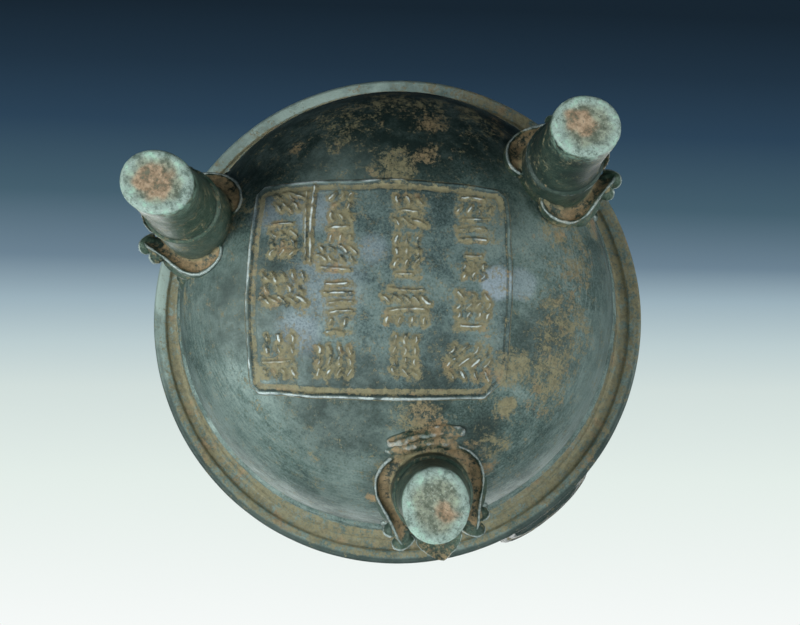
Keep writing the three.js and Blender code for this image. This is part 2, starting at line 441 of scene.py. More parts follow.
def base_level(r):
    """The height of the bowl's outside at a distance from the axis."""
    share = np.clip(1 - (np.asarray(r, dtype=float) / BELLY_RADIUS) ** BELLY_FULLNESS, 0.0, 1.0)
    return BELLY_LEVEL - (BELLY_LEVEL - BASE_LEVEL) * share ** (1 / BELLY_FULLNESS)


def softened(points, reach):
    """The same open line with each corner cut by a small curve."""
    made = [points[0]]
    for before, corner, after in zip(points, points[1:], points[2:]):
        start, middle, end = (np.array(p, dtype=float) for p in (before, corner, after))
        first = min(reach / max(np.linalg.norm(start - middle), 1e-6), 0.45)
        last = min(reach / max(np.linalg.norm(end - middle), 1e-6), 0.45)
        into = middle + (start - middle) * first
        out = middle + (end - middle) * last
        for t in (0.0, 0.35, 0.65, 1.0):
            made.append(tuple(into * (1 - t) ** 2 + middle * 2 * t * (1 - t) + out * t * t))
    return made + [points[-1]]


def bowl_profile():
    """The bowl's wall as a closed line of (radius, height), from the base's outside round."""
    rim = RIM_RADIUS
    outside = [p for p in belly_curve(BELLY_RADIUS, BASE_LEVEL, 46) if p[1] < BAND_LOW - 2]
    band = [
        (84.3, BAND_LOW - 0.5),
        (86.4, BAND_LOW),
        (86.6, BAND_LOW + 1.1),
        (86.1, BAND_LOW + 1.5),
        (86.2, BAND_HIGH - 1.6),
        (86.5, BAND_HIGH - 1.2),
        (86.3, BAND_HIGH),
        (83.7, BAND_HIGH + 1.4),
    ]
    neck = [(83.2, 121.0), (85.4, 126.5), (89.2, 128.4), (90.0, 128.2), (90.6, 129.6), (91.2, 130.2)]
    under_rim = [(94.2, 130.2), (95.0, 129.0), (99.1, 128.8), (rim, 129.8)]
    over_rim = [(rim, RIM_TOP - 0.9), (rim - 0.9, RIM_TOP), (85.6, RIM_TOP)]
    mouth = [(80.8, 130.0), (79.8, 121.0), (81.6, BAND_HIGH), (BELLY_RADIUS - WALL, 104.0)]
    shoulder = softened([outside[-1], *band, *neck, *under_rim, *over_rim, *mouth], 0.55)
    inside = belly_curve(BELLY_RADIUS - WALL, BASE_LEVEL + WALL, 36)
    inside = [p for p in inside if p[1] < 102.5][::-1]
    return outside[:-1] + shoulder + inside


def leg_places():
    """Each foot's name, direction from the axis and distance from it, from the record."""
    for mount in frame["record"]["mounts"]:
        x, y = mount["pos_m"][:2]
        yield mount["name"].removeprefix("foot_"), math.atan2(y, x), math.hypot(x, y) / MM


def around(distance, degrees, level):
    """A point round a leg: its distance from the leg's axis, its turn and its height."""
    a = math.radians(degrees)
    return (distance * math.cos(a), distance * math.sin(a), level)


# The leg from its foot up through the ring round it to its root, as radius and height.
LEG_PROFILE = [
    (0, 0), (10.5, 0), (11.1, 0.3), (11.7, 1.2), (11.8, 3), (11.6, 10), (11.7, 20), (12.3, 28),
    (12.8, 33), (12.7, 34.2), (13.7, 34.6), (14.2, 35.3), (14.0, 36.3), (13.3, 36.8), (13.4, 37.6),
    (13.0, 38.2), (13.3, 42), (14.0, 49), (14.4, 55), (14.6, 60), (15.6, 64), (17.2, 69), (17.4, 76),
    (16.4, 84), (12.0, 90), (6, 92.5), (0, 93),
]
# The sharp lower edge of the beast's lip on one side, from its rounded end to the nose, as
# its distance from the leg's axis, its turn in degrees and its height.
LIP_EDGE = [
    (12.8, 158, 51.2), (15.4, 152, 50.3), (17.8, 143, 50.2), (19.2, 132, 51.6), (19.9, 121, 53.9),
    (20.2, 110, 56.0), (19.7, 95, 57), (18.7, 80, 57.5), (18.5, 66, 58.5), (19.9, 52, 61),
    (22.0, 42, 63), (23.4, 35, 65.5),
]
# The lip's other rods follow its edge: how much nearer the axis, how much higher, how thick.
LIP_RODS = [(0.4, 1.4, 0.95), (0.8, 3.4, 1.7), (2.0, 2.6, 1.3), (3.6, 3.4, 1.9)]
# The face's rods on one side, as points like the lip's and a radius at each: the cheek, the
# jaw's corner, the curls of the nostrils, the eye's upper and lower lid, the brow with its
# curl, the hair over it, the ear and the pointed lock under it.
FACE_RODS = [
    ([(14, 124, 64), (16.6, 98, 67), (16.4, 68, 70), (16.5, 44, 73)], [3.4, 4.6, 4.8, 4.2]),
    ([(13, 112, 71), (15.6, 90, 74), (15.8, 64, 77)], [3.4, 4.6, 4.4]),
    (
        [(19.6, 27, 68), (22.6, 31, 66.4), (25.0, 36, 66.0), (25.2, 42, 67.2), (23.0, 45, 68.0)],
        [0.8, 0.8, 0.8, 0.8, 0.6],
    ),
    ([(19.6, 46, 65.0), (22.4, 49, 64.6), (23.4, 55, 65.4), (21.6, 60, 66.2)], [0.7, 0.75, 0.75, 0.6]),
    (
        [(17.6, 9, 80.5), (19.6, 18, 83.6), (20.2, 30, 85.2), (19.2, 44, 83.6), (17.8, 54, 80.0)],
        [0.7, 1.1, 1.2, 1.0, 0.5],
    ),
    (
        [(17.8, 11, 79.6), (19.8, 20, 77.2), (20.0, 32, 76.4), (18.8, 45, 77.8), (17.8, 54, 80.0)],
        [0.6, 0.9, 0.9, 0.8, 0.5],
    ),
    (
        [(15.4, 5, 86), (17.6, 18, 88.2), (18.6, 34, 89.4), (18.8, 52, 87.6), (19, 66, 85),
         (20.2, 76, 84.6), (20.4, 82, 87), (18.8, 80, 89)],
        [1.8, 2.4, 2.7, 2.4, 2.0, 1.8, 1.5, 1.0],
    ),
    ([(12.4, 10, 90.5), (14.8, 30, 92.6), (16.2, 52, 92), (17.6, 66, 90)], [1.6, 2.0, 1.7, 0.9]),
    ([(15, 96, 74), (18.6, 92, 78), (20, 90, 83), (18.4, 88, 87.5)], [2.6, 3.0, 2.3, 0.8]),
    ([(16, 84, 70), (20.2, 86, 73.5), (23.4, 85, 77.5), (25.2, 83, 80.5)], [2.6, 2.5, 1.6, 0.4]),
]
# The face's balls on one side, as place, radii and segments: the nostrils' lobes, the
# eyeball and its pupil.
FACE_BALLS = [
    ((21.6, 38, 67.0), (3.6, 2.7, 2.6), 20),
    ((20.4, 53, 66.4), (3.0, 2.6, 2.6), 20),
    ((16.4, 30, 81), (5.0, 4.6, 4.3), 20),
    ((20.6, 30, 80.6), (1.1, 1.3, 1.3), 12),
]
# Locks of the mane on one side, as bearings round the bowl and heights, and radii.
MANE_RODS = [
    ([(6, 89), (9.5, 92), (12.2, 91.6), (13.4, 88.4), (12.2, 86.4)], [1.8, 2.2, 1.9, 1.4, 0.7]),
    ([(3.5, 92), (6.4, 95.6), (9.8, 96.8), (12.6, 95.2), (13.2, 92.8)], [1.7, 2.2, 1.9, 1.4, 0.7]),
    ([(1.6, 93), (2.6, 96.4), (5.2, 98.4), (8.4, 99.0)], [1.8, 2.0, 1.5, 0.6]),
]
# The welt's rods, as points round the leg with a radius at each, and its lumps.
WELT_RODS = [
    [(27, 144, 49.4, 0.8), (24, 153, 48.5, 2.2), (21.8, 166, 48.0, 2.9), (21.2, 181, 47.9, 3.1),
     (22, 197, 48.1, 3.2), (23.4, 210, 49.0, 2.9), (23.6, 219, 50.6, 1.6)],
    [(22.5, 142, 51, 1.6), (19.6, 152, 50.6, 3.0), (18.2, 168, 50.2, 3.4), (18, 186, 50.2, 3.5),
     (18.8, 204, 50.8, 3.2), (20.2, 219, 52, 2.0)],
    [(18.5, 138, 53.6, 2.0), (16.2, 152, 53, 3.2), (15, 172, 52.6, 3.4), (15, 194, 52.8, 3.4),
     (16.2, 214, 54, 2.4)],
    [(25.5, 160, 46.8, 0.8), (24.8, 174, 46.6, 1.6), (25, 190, 46.6, 1.9), (25.4, 206, 47.6, 1.2)],
    [(22.8, 148, 46.2, 0.6), (21.0, 160, 45.6, 1.1), (20.8, 172, 45.2, 1.3), (20.6, 186, 45.4, 1.2),
     (21.6, 200, 45.8, 1.0), (23.2, 211, 46.6, 0.6)],
    [(18.6, 156, 47.2, 0.6), (17.6, 170, 47.1, 1.1), (17.4, 186, 47.2, 1.1), (18.2, 206, 48.2, 0.7)],
]
WELT_BALLS = [
    ((19.4, 180, 50.2), (5.6, 12.5, 3.6)),
    ((21.2, 187, 46.2), (1.5, 2.8, 1.3)),
    ((22.2, 202, 46.6), (1.6, 2.2, 1.4)),
    ((24.2, 213, 48.8), (2.2, 3.0, 2.2)),
]


def nose(lift):
    """The snout's underside: a pointed leaf with a thin raised edge, widening upwards."""
    outline = [(13, 8.0), (17, 8.6), (20, 8.6), (22.5, 7.4), (25, 5.2), (27, 2.6), (28.2, 0.6)]
    leaf = outline + [(28.3, -0.6)] + [(x, -y) for x, y in outline[-2::-1]]
    deselect()
    bpy.ops.mesh.primitive_circle_add(vertices=len(leaf), radius=MM, fill_type="NGON")
    obj = bpy.context.object
    for vertex, (x, y) in zip(obj.data.vertices, leaf):
        vertex.co = Vector((x, y, 69.6 + lift + 0.2 * (x - 14) - 0.02 * y * y)) * MM
    with edit_mode(obj):
        bpy.ops.mesh.inset(thickness=0.9 * MM)
        bpy.ops.transform.translate(value=(0, 0, 0.9 * MM))
        bpy.ops.mesh.inset(thickness=1.8 * MM)
        bpy.ops.transform.translate(value=(0, 0, 0.5 * MM))
        bpy.ops.mesh.select_all(action="DESELECT")
        bpy.ops.mesh.select_non_manifold()
        bpy.ops.mesh.extrude_edges_move(TRANSFORM_OT_translate={"value": (-0.8 * MM, 0, 3.0 * MM)})
        bpy.ops.mesh.extrude_edges_move(TRANSFORM_OT_translate={"value": (-3.5 * MM, 0, 4 * MM)})
        bpy.ops.mesh.edge_face_add()
    return tidy(obj)


def mask_side(side, lift):
    """One side of the beast's face, side being 1 or -1."""

    def line(table, radii):
        return rod([around(r, side * a, z + lift) for r, a, z in table], radii)

    inner = LIP_EDGE[1:]
    parts = [line(LIP_EDGE, [0.5] + [0.62] * (len(LIP_EDGE) - 2) + [0.5])]
    for nearer, higher, radius in LIP_RODS:
        parts.append(line([(r - nearer, a, z + higher) for r, a, z in inner], [radius] * len(inner)))
    root = [(r - 4.8, a, z + 5.4) for r, a, z in inner]
    parts.append(line(root, [2.4] + [3.4] * (len(inner) - 2) + [2.4]))
    parts += [line(table, radii) for table, radii in FACE_RODS]
    for (r, a, z), radii, segments in FACE_BALLS:
        parts.append(ball(around(r, side * a, z + lift), radii, (0, 0, side * a), segments))
    return parts


def on_wall(degrees, level, proud=0.3):
    """A point on the bowl's wall, turned from the leg's direction."""
    radius = BELLY_RADIUS
    if level < BELLY_LEVEL:
        share = ((BELLY_LEVEL - level) / (BELLY_LEVEL - BASE_LEVEL)) ** BELLY_FULLNESS
        radius *= (1 - share) ** (1 / BELLY_FULLNESS)
    a = math.radians(degrees)
    return ((radius + proud) * math.cos(a), (radius + proud) * math.sin(a), level)


def mane_side(side, lift):
    """Flame-like locks of the mane that lie on the bowl over the mask."""
    return [
        rod([on_wall(side * a, min(z + lift * 0.5, 99.2)) for a, z in table], radii)
        for table, radii in MANE_RODS
    ]


def welt():
    """The lumpy repair on the inner side of the right leg, along the bowl."""
    rods = [rod([around(*p[:3]) for p in table], [p[3] for p in table]) for table in WELT_RODS]
    return rods + [ball(around(*place), radii, (0, 0, place[1])) for place, radii in WELT_BALLS]


def bowl_patch(sweep=math.radians(44)):
    """A slab of the bowl's wall round a leg, so that the leg's root runs out into it."""
    outer = belly_curve(BELLY_RADIUS + SLAB_PROUD, BASE_LEVEL - SLAB_PROUD, 46)
    inner = belly_curve(BELLY_RADIUS - SLAB_DEPTH, BASE_LEVEL + SLAB_DEPTH, 46)
    return turned("patch", [p for p in outer + inner[::-1] if 46 < p[0] and p[1] < 94], 40, sweep)


def hollow_cutter():
    """The bowl's hollow grown into its wall. What reaches into it is cut from the legs."""
    curve = belly_curve(BELLY_RADIUS - ROOT_DEPTH, BASE_LEVEL + ROOT_DEPTH, 40)
    curve = [p for p in curve if p[1] < 99]
    return turned("cutter", curve + [(0, curve[-1][1])], 128)


# Where each foot's brown patch lies: outwards, across and its radius in millimetres.
FOOT_PATCHES = {"front": (-1.1, -2.2, 4.8), "right": (3.2, -2.8, 3.4), "left": (0.5, 0.0, 6.2)}
# Each foot's outline: the bearing of its long way in degrees, how oval it is, its size and
# how far it steps outwards in millimetres.
FOOT_OUTLINES = {
    "front": (47, 0.055, 0.965, 1.2),
    "right": (10, 0.068, 1.02, 0),
    "left": (-5, 0.075, 1.015, 0),
}


def in_leg(points, turn, reach):
    """Each point's distance outwards from the leg's leaning axis and across it, in millimetres."""
    axis = np.array([math.cos(turn), math.sin(turn)])
    along = (points[:, :2] @ axis + LEG_LEAN * points[:, 2]) / MM - reach
    return along, points[:, :2] @ np.array([-axis[1], axis[0]]) / MM


def lip_trough(along, across, level):
    """How far each point lies in the shallow bed behind the lip's edge, or under the nose."""
    table = np.array(LIP_EDGE[::-1])
    degrees = np.degrees(np.abs(np.arctan2(across, along)))
    distance = np.hypot(along, across)
    inside = np.interp(degrees, table[:, 1], table[:, 0]) - distance
    above = level - np.interp(degrees, table[:, 1], table[:, 2])
    bed = smoothstep(inside, 0.2, 1.0) * smoothstep(distance, 14.4, 15.4) * smoothstep(above, 6.5, 4.0)
    bed *= smoothstep(degrees, 34, 42) * smoothstep(degrees, 154, 146)
    leaf = smoothstep(degrees, 34, 26) * smoothstep(distance, 15, 17) * smoothstep(level, 75, 73)
    return np.maximum(bed, 0.55 * leaf)


def leg_solid(name, turn, reach):
    """A leg with its mask and mane and the wall round its root, as one clean mesh."""
    lift = LEG_LIFTS[name]
    profile = [(r, z + (lift if z > 50 else 0)) for r, z in softened(LEG_PROFILE, 0.4)]
    parts = [turned("column", profile, 64), nose(lift)]
    for side in (1, -1):
        parts += mask_side(side, lift)
        # The wings of the nose.
        parts.append(ball((20.4, side * 5.2, 75.2 + lift), (3.4, 2.7, 2.8)))
    # The bulb of the nose, its bridge and the boss on the brow.
    parts.append(ball((20.4, 0, 76.4 + lift), (5.6, 5.2, 4.0)))
    parts.append(ball((16.2, 0, 82 + lift), (4.6, 2.9, 6.0)))
    parts.append(ball((13.6, 0, 90.6 + lift * 0.8), (4.8, 4.6, 3.4)))
    if name == "right":
        parts += welt()
    leg = joined(parts, "beast_leg_" + name)
    lean = Matrix.Identity(4)
    lean[0][2] = -LEG_LEAN
    lean[0][3] = reach * MM
    leg.data.transform(lean)
    leg = joined([leg, bowl_patch()] + mane_side(1, lift) + mane_side(-1, lift), leg.name)
    leg.data.transform(Matrix.Rotation(turn, 4, "Z"))
    use(leg, "REMESH", mode="VOXEL", voxel_size=sizes().grain)
    cutter = hollow_cutter()
    use(leg, "BOOLEAN", object=cutter, operation="DIFFERENCE", solver="MANIFOLD")
    bpy.data.objects.remove(cutter)
    return use(leg, "SMOOTH", factor=0.5, iterations=3)


def sink_slab(points, distance, wall):
    """Sinks the edge of the slab round a leg into the bowl. The leg itself keeps its place."""
    radius = np.hypot(points[:, 0], points[:, 1]) / MM
    on_slab = smoothstep(wall - points[:, 2] / MM, 1.6, 0.8) * (radius < 85.2)
    inwards = np.array([0.0, 0.0, BELLY_LEVEL * MM]) - points
    inwards /= np.linalg.norm(inwards, axis=1)[:, None]
    points += inwards * (smoothstep(distance, 21, 31) * on_slab * 0.45 * MM)[:, None]


def shape_foot(name, points, facing, distance, turn):
    """Makes a foot slightly oval, and lets corrosion bite into its face, all but its rim.

    Returns how far each point belongs to the face.
    """
    bearing, oval, size, step = FOOT_OUTLINES[name]
    wobble = noise_at(points, 9.0, 8.0) * 0.02
    grown = size - 1 + oval * np.cos(2 * (facing - math.radians(bearing))) + wobble
    spin = facing + turn
    shift = (grown * distance)[:, None] * np.stack([np.cos(spin), np.sin(spin)], axis=1)
    shift += step * np.array([math.cos(turn), math.sin(turn)])
    points[:, :2] += shift * smoothstep(points[:, 2] / MM, 22, 4)[:, None] * MM
    foot = smoothstep(points[:, 2] / MM, 2.4, 1.0)
    bite = np.clip(layers_at(points, (2.6, 3.0, 0.5), (1.1, 5.0, 0.3)) + 0.35, 0, 1)
    points[:, 2] += foot * smoothstep(distance, 10.2, 7.0) * bite * 0.6 * MM
    return foot


def beast_leg(name, turn, reach):
    """A leg in its place, with its uneven skin and the marks that its material reads."""
    leg = leg_solid(name, turn, reach)
    points = points_of(leg)
    along, across = in_leg(points, turn, reach)
    distance = np.hypot(along, across)
    facing = np.arctan2(across, along)
    wall = base_level(np.hypot(points[:, 0], points[:, 1]) / MM)
    sink_slab(points, distance, wall)
    foot = shape_foot(name, points, facing, distance, turn)

    level = points[:, 2] / MM
    rough = layers_at(points, (7.5, 17.0, 0.22), (3.1, 11.0, 0.09), (1.3, 13.0, 0.045))
    welted = np.zeros(len(points))
    if name == "right":
        welted = smoothstep(wall - level, 0.2, 0.8) * smoothstep(np.abs(facing), 2.3, 2.5)
        welted *= smoothstep(distance, 15.5, 17.5) * smoothstep(level, 36, 40)
        rough += welted * (layers_at(points, (4.2, 31.0, 0.8), (1.6, 32.0, 0.3)) + 0.3)
    rough *= smoothstep(level, 1, 4)
    points += points_of(leg, "normal") * (rough * MM)[:, None]
    set_points(leg, points)
    settle(leg)

    mark_relief(leg, dull=0.45 * welted)
    store(leg, "foot", foot)
    trough = lip_trough(along, across, points[:, 2] / MM - LEG_LIFTS[name])
    store(leg, "trough", np.maximum(trough, 0.9 * welted))
    out, side, patch = FOOT_PATCHES[name]
    spread = np.hypot(along - out, across - side) + noise_at(points, 4.0, 2.0) * 3
    store(leg, "patch", smoothstep(spread, patch + 1.5, patch - 1.5))
    store(leg, "core", smoothstep(distance + noise_at(points, 5.0, 6.0) * 2.4, 10, 6))
    return leg


# The rounded corner of a handle's section, as steps in from the strap's edge and its face.
HANDLE_CORNER = [(0, 2.2), (0.35, 1.0), (1.0, 0.3), (2.0, 0)]


def arch_path(width, height, foot, steps):
    """Half of an arch's middle line from its foot to its top, then the other half back."""
    half = width / 2
    bend = half * 0.8
    right = [(half, foot + (height - bend - foot) * i / 6) for i in range(7)]
    for i in range(1, steps + 1):
        t = i / steps
        x = half * (1 - t) ** 2 + 2 * half * t * (1 - t) + (half - bend) * t * t
        y = (height - bend) * (1 - t) ** 2 + 2 * height * t * (1 - t) + height * t * t
        right.append((x, y))
    return right + [(-x, y) for x, y in right[::-1]]


def loop_handle(name, half_turn):
    """An upright loop, bent to the rim's curve and leaning outwards."""
    strap = sizes().handle_strap / MM
    w, t = strap / 2, sizes().handle_thickness / MM / 2
    # A corner and half of the shallow groove make a quarter, which is mirrored all round.
    quarter = [(w - x, t - y) for x, y in HANDLE_CORNER] + [(0.9, t), (0.35, t - 0.45)]
    upper = quarter + [(-x, y) for x, y in quarter[::-1]]
    section = bpy.data.curves.new("section", "CURVE")
    add_line(section, [(x, y, 0) for x, y in upper] + [(-x, -y, 0) for x, y in upper], closed=True)
    section_object = bpy.data.objects.new("section", section)
    bpy.context.collection.objects.link(section_object)

    path = new_curve(name, bevel_mode="OBJECT", bevel_object=section_object)
    arch = arch_path(HANDLE_WIDTH - strap, HANDLE_HEIGHT - strap / 2, -4.2, 16)
    add_line(path, [(x, 0, y) for x, y in arch])
    obj = meshed(path)
    bpy.data.objects.remove(section_object)
    use(obj, "REMESH", mode="VOXEL", voxel_size=HANDLE_GRAIN * MM)
    use(obj, "SMOOTH", factor=0.5, iterations=2)

    points = points_of(obj) / MM
    normals = points_of(obj, "normal")
    angle = points[:, 0] / HANDLE_CENTRE + (math.pi if half_turn else 0.0)
    cos, sin = np.cos(angle), np.sin(angle)
    radius = HANDLE_CENTRE - points[:, 1] + HANDLE_LEAN * points[:, 2]
    bent = np.stack([radius * cos, radius * sin, RIM_TOP + points[:, 2]], axis=1) * MM
    x, y, z = normals.T
    turned_normals = np.stack([-y * cos - x * sin, -y * sin + x * cos, z], axis=1)
    stray = layers_at(bent, (9.0, 4.0, 0.12), (2.4, 6.0, 0.05))
    set_points(obj, bent + turned_normals * ((stray - HANDLE_BACK) * MM)[:, None])
    tidy(obj)
    mark_relief(obj, fine=(2, 92, 99.6), broad=(14, 80, 99))
    return obj


# ---- The framed field ----
def fractions(seed):
    """A small seeded generator, so that the strokes are the same each time."""
    state = seed
    while True:
        state = (state * 1103515245 + 12345) % 2147483648
        yield state / 2147483648


# The rows' usual pitch in a group of strokes, and what stays free between two rows.
ROW_PITCH = 3.9
ROW_GAP = 1.5
# The pair of lines between the two left columns, in the form that stroke_lines gives.
DIVIDER = [
    (-24.4, 23.0, np.array([0.3, 14.0]), 0.3, 0.75, 1.1),
    (-26.8, 22.0, np.array([-0.2, 13.0]), -0.2, 0.6, 0.8),
]


def group_strokes(group, draw):
    """Rows of short strokes that lean at random: one long stroke, or a few short ones."""
    across, up, width, height = group
    rows = round(height / ROW_PITCH)
    pitch = height / rows
    for row in range(rows):
        level = up + height / 2 - (row + 0.5) * pitch
        if draw() < 0.3:
            reach = width * (0.5 + 0.3 * draw())
            yield across + (draw() - 0.5) * 2.0, level, reach, math.pi / 2 + (draw() - 0.5) * 0.16
            continue
        count = round(width / (3.4 + draw()))
        lean = (draw() - 0.5) * 1.6
        for i in range(count):
            place = across + width * ((i + 0.5) / count - 0.5)
            lean += (draw() - 0.5) * 0.5
            fit = (pitch - ROW_GAP) / abs(math.cos(lean))
            yield place, level + (draw() - 0.5) * 0.4, fit * (0.8 + 0.25 * draw()), lean


def edge_distance(across, up, width, height):
    """Distance inwards from a rectangle's edge, whose sides bulge and whose corners are cut."""
    w, h = width / 2, height / 2
    bulge_w = w * (0.94 + 0.06 * (1 - np.clip(np.abs(up) / h, 0, 1) ** 2))
    bulge_h = h * (0.94 + 0.06 * (1 - np.clip(np.abs(across) / w, 0, 1) ** 2))
    side = bulge_w - np.abs(across)
    end = bulge_h - np.abs(up)
    worn_corner = (across > 0) & (up < 0)
    cut = (side + end - np.where(worn_corner, 6.5, 2.8)) / math.sqrt(2)
    return np.minimum(np.minimum(side, end), cut)


def ridge(distance, half_width):
    """A soft crest, 1 on its line and 0 beyond its half width."""
    return np.clip(1 - (distance / half_width) ** 2, 0, 1) ** 0.8


def stroke_lines():
    """Every stroke as its middle, half its run as a vector, its bow, half width and strength."""
    numbers = fractions(1528)

    def draw():
        return next(numbers)

    strokes = [stroke for group in GROUPS for stroke in group_strokes(group, draw)]
    lines = []
    for across, up, reach, angle in strokes:
        run = np.array([-math.sin(angle), math.cos(angle)]) * reach / 2
        lines.append((across, up, run, (draw() - 0.5) * 0.9, 0.55 + 0.25 * draw(), 0.6 + 0.5 * draw()))
    return lines + DIVIDER


def lay_frame(field):
    """The pitted and scratched ground, the channel, and the frame with its fine inner line, with the
    painted highlight along the frame and dark lines beside it.
    """
    across, up, plan, inward = field.across, field.up, field.plan, field.inward
    offset = inward - 0.75
    outer = np.clip(1 - np.where(offset < 0, -offset / 0.62, offset / 1.35) ** 2, 0, 1) ** 0.85
    frame_line = outer * (0.55 + 0.45 * field.wear) * field.rubbed * sizes().frame_rise / MM
    inner_line = ridge(inward - 4.4, 0.7) * field.wear * field.rubbed * 0.24
    channel = smoothstep(inward, 1.5, 2.2) * smoothstep(inward, 4.4, 3.6)
    field.ground = smoothstep(inward, -0.3, 0.4) * 0.18 - channel * 0.12
    pits = np.clip(noise_at(plan, 1.7, 21.0) - 0.35, 0, 1) * 0.16
    scratch = noise_at(np.stack([across, up * 0.18, 0 * up], axis=1) * MM, 0.9, 30.0)
    scratched = np.exp(-(((across + 26) / 7) ** 2) - ((up + 4) / 16) ** 2)
    height = field.ground + layers_at(plan, (2.6, 5.0, 0.06), (1.1, 6.0, 0.03)) - pits
    height += np.clip(scratch - 0.1, 0, 1) * scratched * 0.4
    field.height = np.maximum(height, np.maximum(frame_line, inner_line + field.ground))

    low_side = smoothstep(up, -30, -36)
    ends = np.maximum(smoothstep(up, 26, 32), low_side)
    field.soil = channel * (0.8 + 0.2 * ends) * (1 - 0.6 * smoothstep(across, 36, 42) * (1 - ends))
    # The painted highlight along the frame: brighter at the upper left and along the bottom, weaker on the
    # right.
    rightwards = smoothstep(across, 4, 14) * smoothstep(up, -30, -20)
    upper_left = smoothstep(across, 6, -6) * smoothstep(up, -10, 10)
    glint = np.clip(0.8 + 0.9 * noise_at(plan, 4.0, 35.0) + 0.35 * upper_left, 0.15, 1.25)
    brink = np.clip(1 - np.abs(inward - 0.55) / (0.75 + 0.3 * upper_left), 0, 1) * field.rubbed
    field.shine = brink * np.clip(field.wear + 0.4 * low_side, 0.2, 1.2) * glint * (1 - 0.65 * rightwards)
    # Dark lines just outside the frame and, fainter, inside it by the channel.
    outside = smoothstep(inward, -2.2, -0.6) * smoothstep(inward, 0.3, -0.2) * 0.9
    inside = 0.5 * smoothstep(inward, 1.2, 1.7) * smoothstep(inward, 2.4, 1.9)
    field.shade = np.maximum(outside, inside)


def lay_stroke(field, stroke):
    """One stroke, broken by wear, with soil beside it, a painted highlight along its crest and a painted
    shadow beside it.
    """
    a, u, run, bow, half_width, strength = stroke
    reach = np.hypot(*run)
    beside = (np.abs(field.across - a) < abs(run[0]) + 3) & (np.abs(field.up - u) < abs(run[1]) + 3)
    near = np.nonzero(beside)[0]
    plan, wear = field.plan[near], field.wear[near]
    x = field.across[near] - a + field.sway[near] * 0.6
    y = field.up[near] - u + field.sway[near] * 0.6
    t = np.clip((x * run[0] + y * run[1]) / reach**2, -1, 1)
    off = bow * (1 - t * t)
    away_x = x - run[0] * t + off * run[1] / reach
    away_y = y - run[1] * t - off * run[0] / reach
    gap = np.hypot(away_x, away_y)
    taper = half_width * (1 - 0.25 * t * t + 0.3 * noise_at(plan, 1.3, 3.0))
    worn = strength * (0.6 + 0.4 * wear) * (1 + 0.5 * noise_at(plan, 2.1, 27.0))
    # The painted highlight along the crest is broken by noise.
    glint = np.clip(0.75 + 1.1 * noise_at(plan, 2.4, 33.0), 0.1, 1.1)
    # The painted shadow is darker on the stroke's lower right.
    below = 0.6 + 0.4 * (away_x - away_y) / np.maximum(gap, 0.1) / math.sqrt(2)

    def raise_to(values, new):
        values[near] = np.maximum(values[near], new)

    raise_to(field.height, field.ground[near] + ridge(gap, taper) * worn * sizes().stroke_rise / MM)
    raise_to(field.shine, np.clip(1.1 - gap / (taper * 0.7), 0, 1) * worn * glint)
    raise_to(field.shade, smoothstep(gap, taper + 1.0, taper + 0.1) * below * strength)
    raise_to(field.soil, 0.85 * smoothstep(gap, 2.9, 0.9))


def field_relief(across, up):
    """The relief's height over the bowl in millimetres, and the marks that the material
    reads: how much soil each place holds, the rubbing and painted highlight on the crests,
    and the painted shadow beside the strokes with dark lines round the frame."""
    plan = np.stack([across, up, np.zeros_like(across)], axis=1) * MM
    slow = layers_at(plan, (14.0, 1.0, 0.5), (3.2, 2.0, 0.12))
    field = SimpleNamespace(
        across=across,
        up=up,
        plan=plan,
        sway=slow + layers_at(plan, (3.2, 2.0, 0.3), (1.4, 4.0, 0.3)),
        wear=np.clip(0.62 + layers_at(plan, (9.0, 9.0, 0.5), (3.0, 8.0, 0.35)), 0, 1.15),
        inward=edge_distance(across + slow, up + slow, FIELD_WIDTH, FIELD_HEIGHT),
        rubbed=1 - 0.75 * smoothstep(across, 30, 42) * smoothstep(up, -6, -20) * smoothstep(up, -40, -32),
    )
    lay_frame(field)
    for a, u, width, tall in GROUPS:
        beside = smoothstep(np.abs(across - a) - width / 2, 2.2, -1.0)
        halo = beside * smoothstep(np.abs(up - u) - tall / 2, 2.0, -1.0)
        field.soil = np.maximum(field.soil, 0.62 * halo)
    for stroke in stroke_lines():
        lay_stroke(field, stroke)
    # The painted shadow gives way where the crests are bright.
    field.shade *= 1 - np.clip(field.shine * 1.6, 0, 1)
    # The grid's margin dips under the bowl's skin.
    field.height -= smoothstep(field.inward, -0.1, -1.3) * 0.45
    return field.height, {"channel": field.soil, "crest": field.shine, "hollow": field.shade}


def field_grid(name, step, depth=None):
    """A grid over the field, laid on the bowl. With a depth it lies inside the wall."""
    spread_a, spread_u = FIELD_WIDTH / 2 + 2.4, FIELD_HEIGHT / 2 + 2.4
    deselect()
    bpy.ops.mesh.primitive_grid_add(
        x_subdivisions=round(2 * spread_a / step), y_subdivisions=round(2 * spread_u / step), size=2.0
    )
    obj = bpy.context.object
    obj.name = name
    plan = points_of(obj)
    across, up = plan[:, 0] * spread_a, plan[:, 1] * spread_u
    marks = {}
    if depth is None:
        height, marks = field_relief(across, up)
    else:
        height = np.full(len(across), -depth)
    u, a = up + FIELD_OFFSET[1], across + FIELD_OFFSET[0]
    x = u * math.cos(FIELD_TURN) - a * math.sin(FIELD_TURN)
    y = u * math.sin(FIELD_TURN) + a * math.cos(FIELD_TURN)
    r = np.maximum(np.hypot(x, y), 1e-3)
    slope = (base_level(r + 0.25) - base_level(r - 0.25)) / 0.5
    normal = np.stack([slope * x / r, slope * y / r, -np.ones_like(r)], axis=1)
    normal /= np.linalg.norm(normal, axis=1)[:, None]
    points = np.stack([x, y, base_level(r)], axis=1) + normal * height[:, None]
    set_points(obj, points * MM)
    return obj, marks


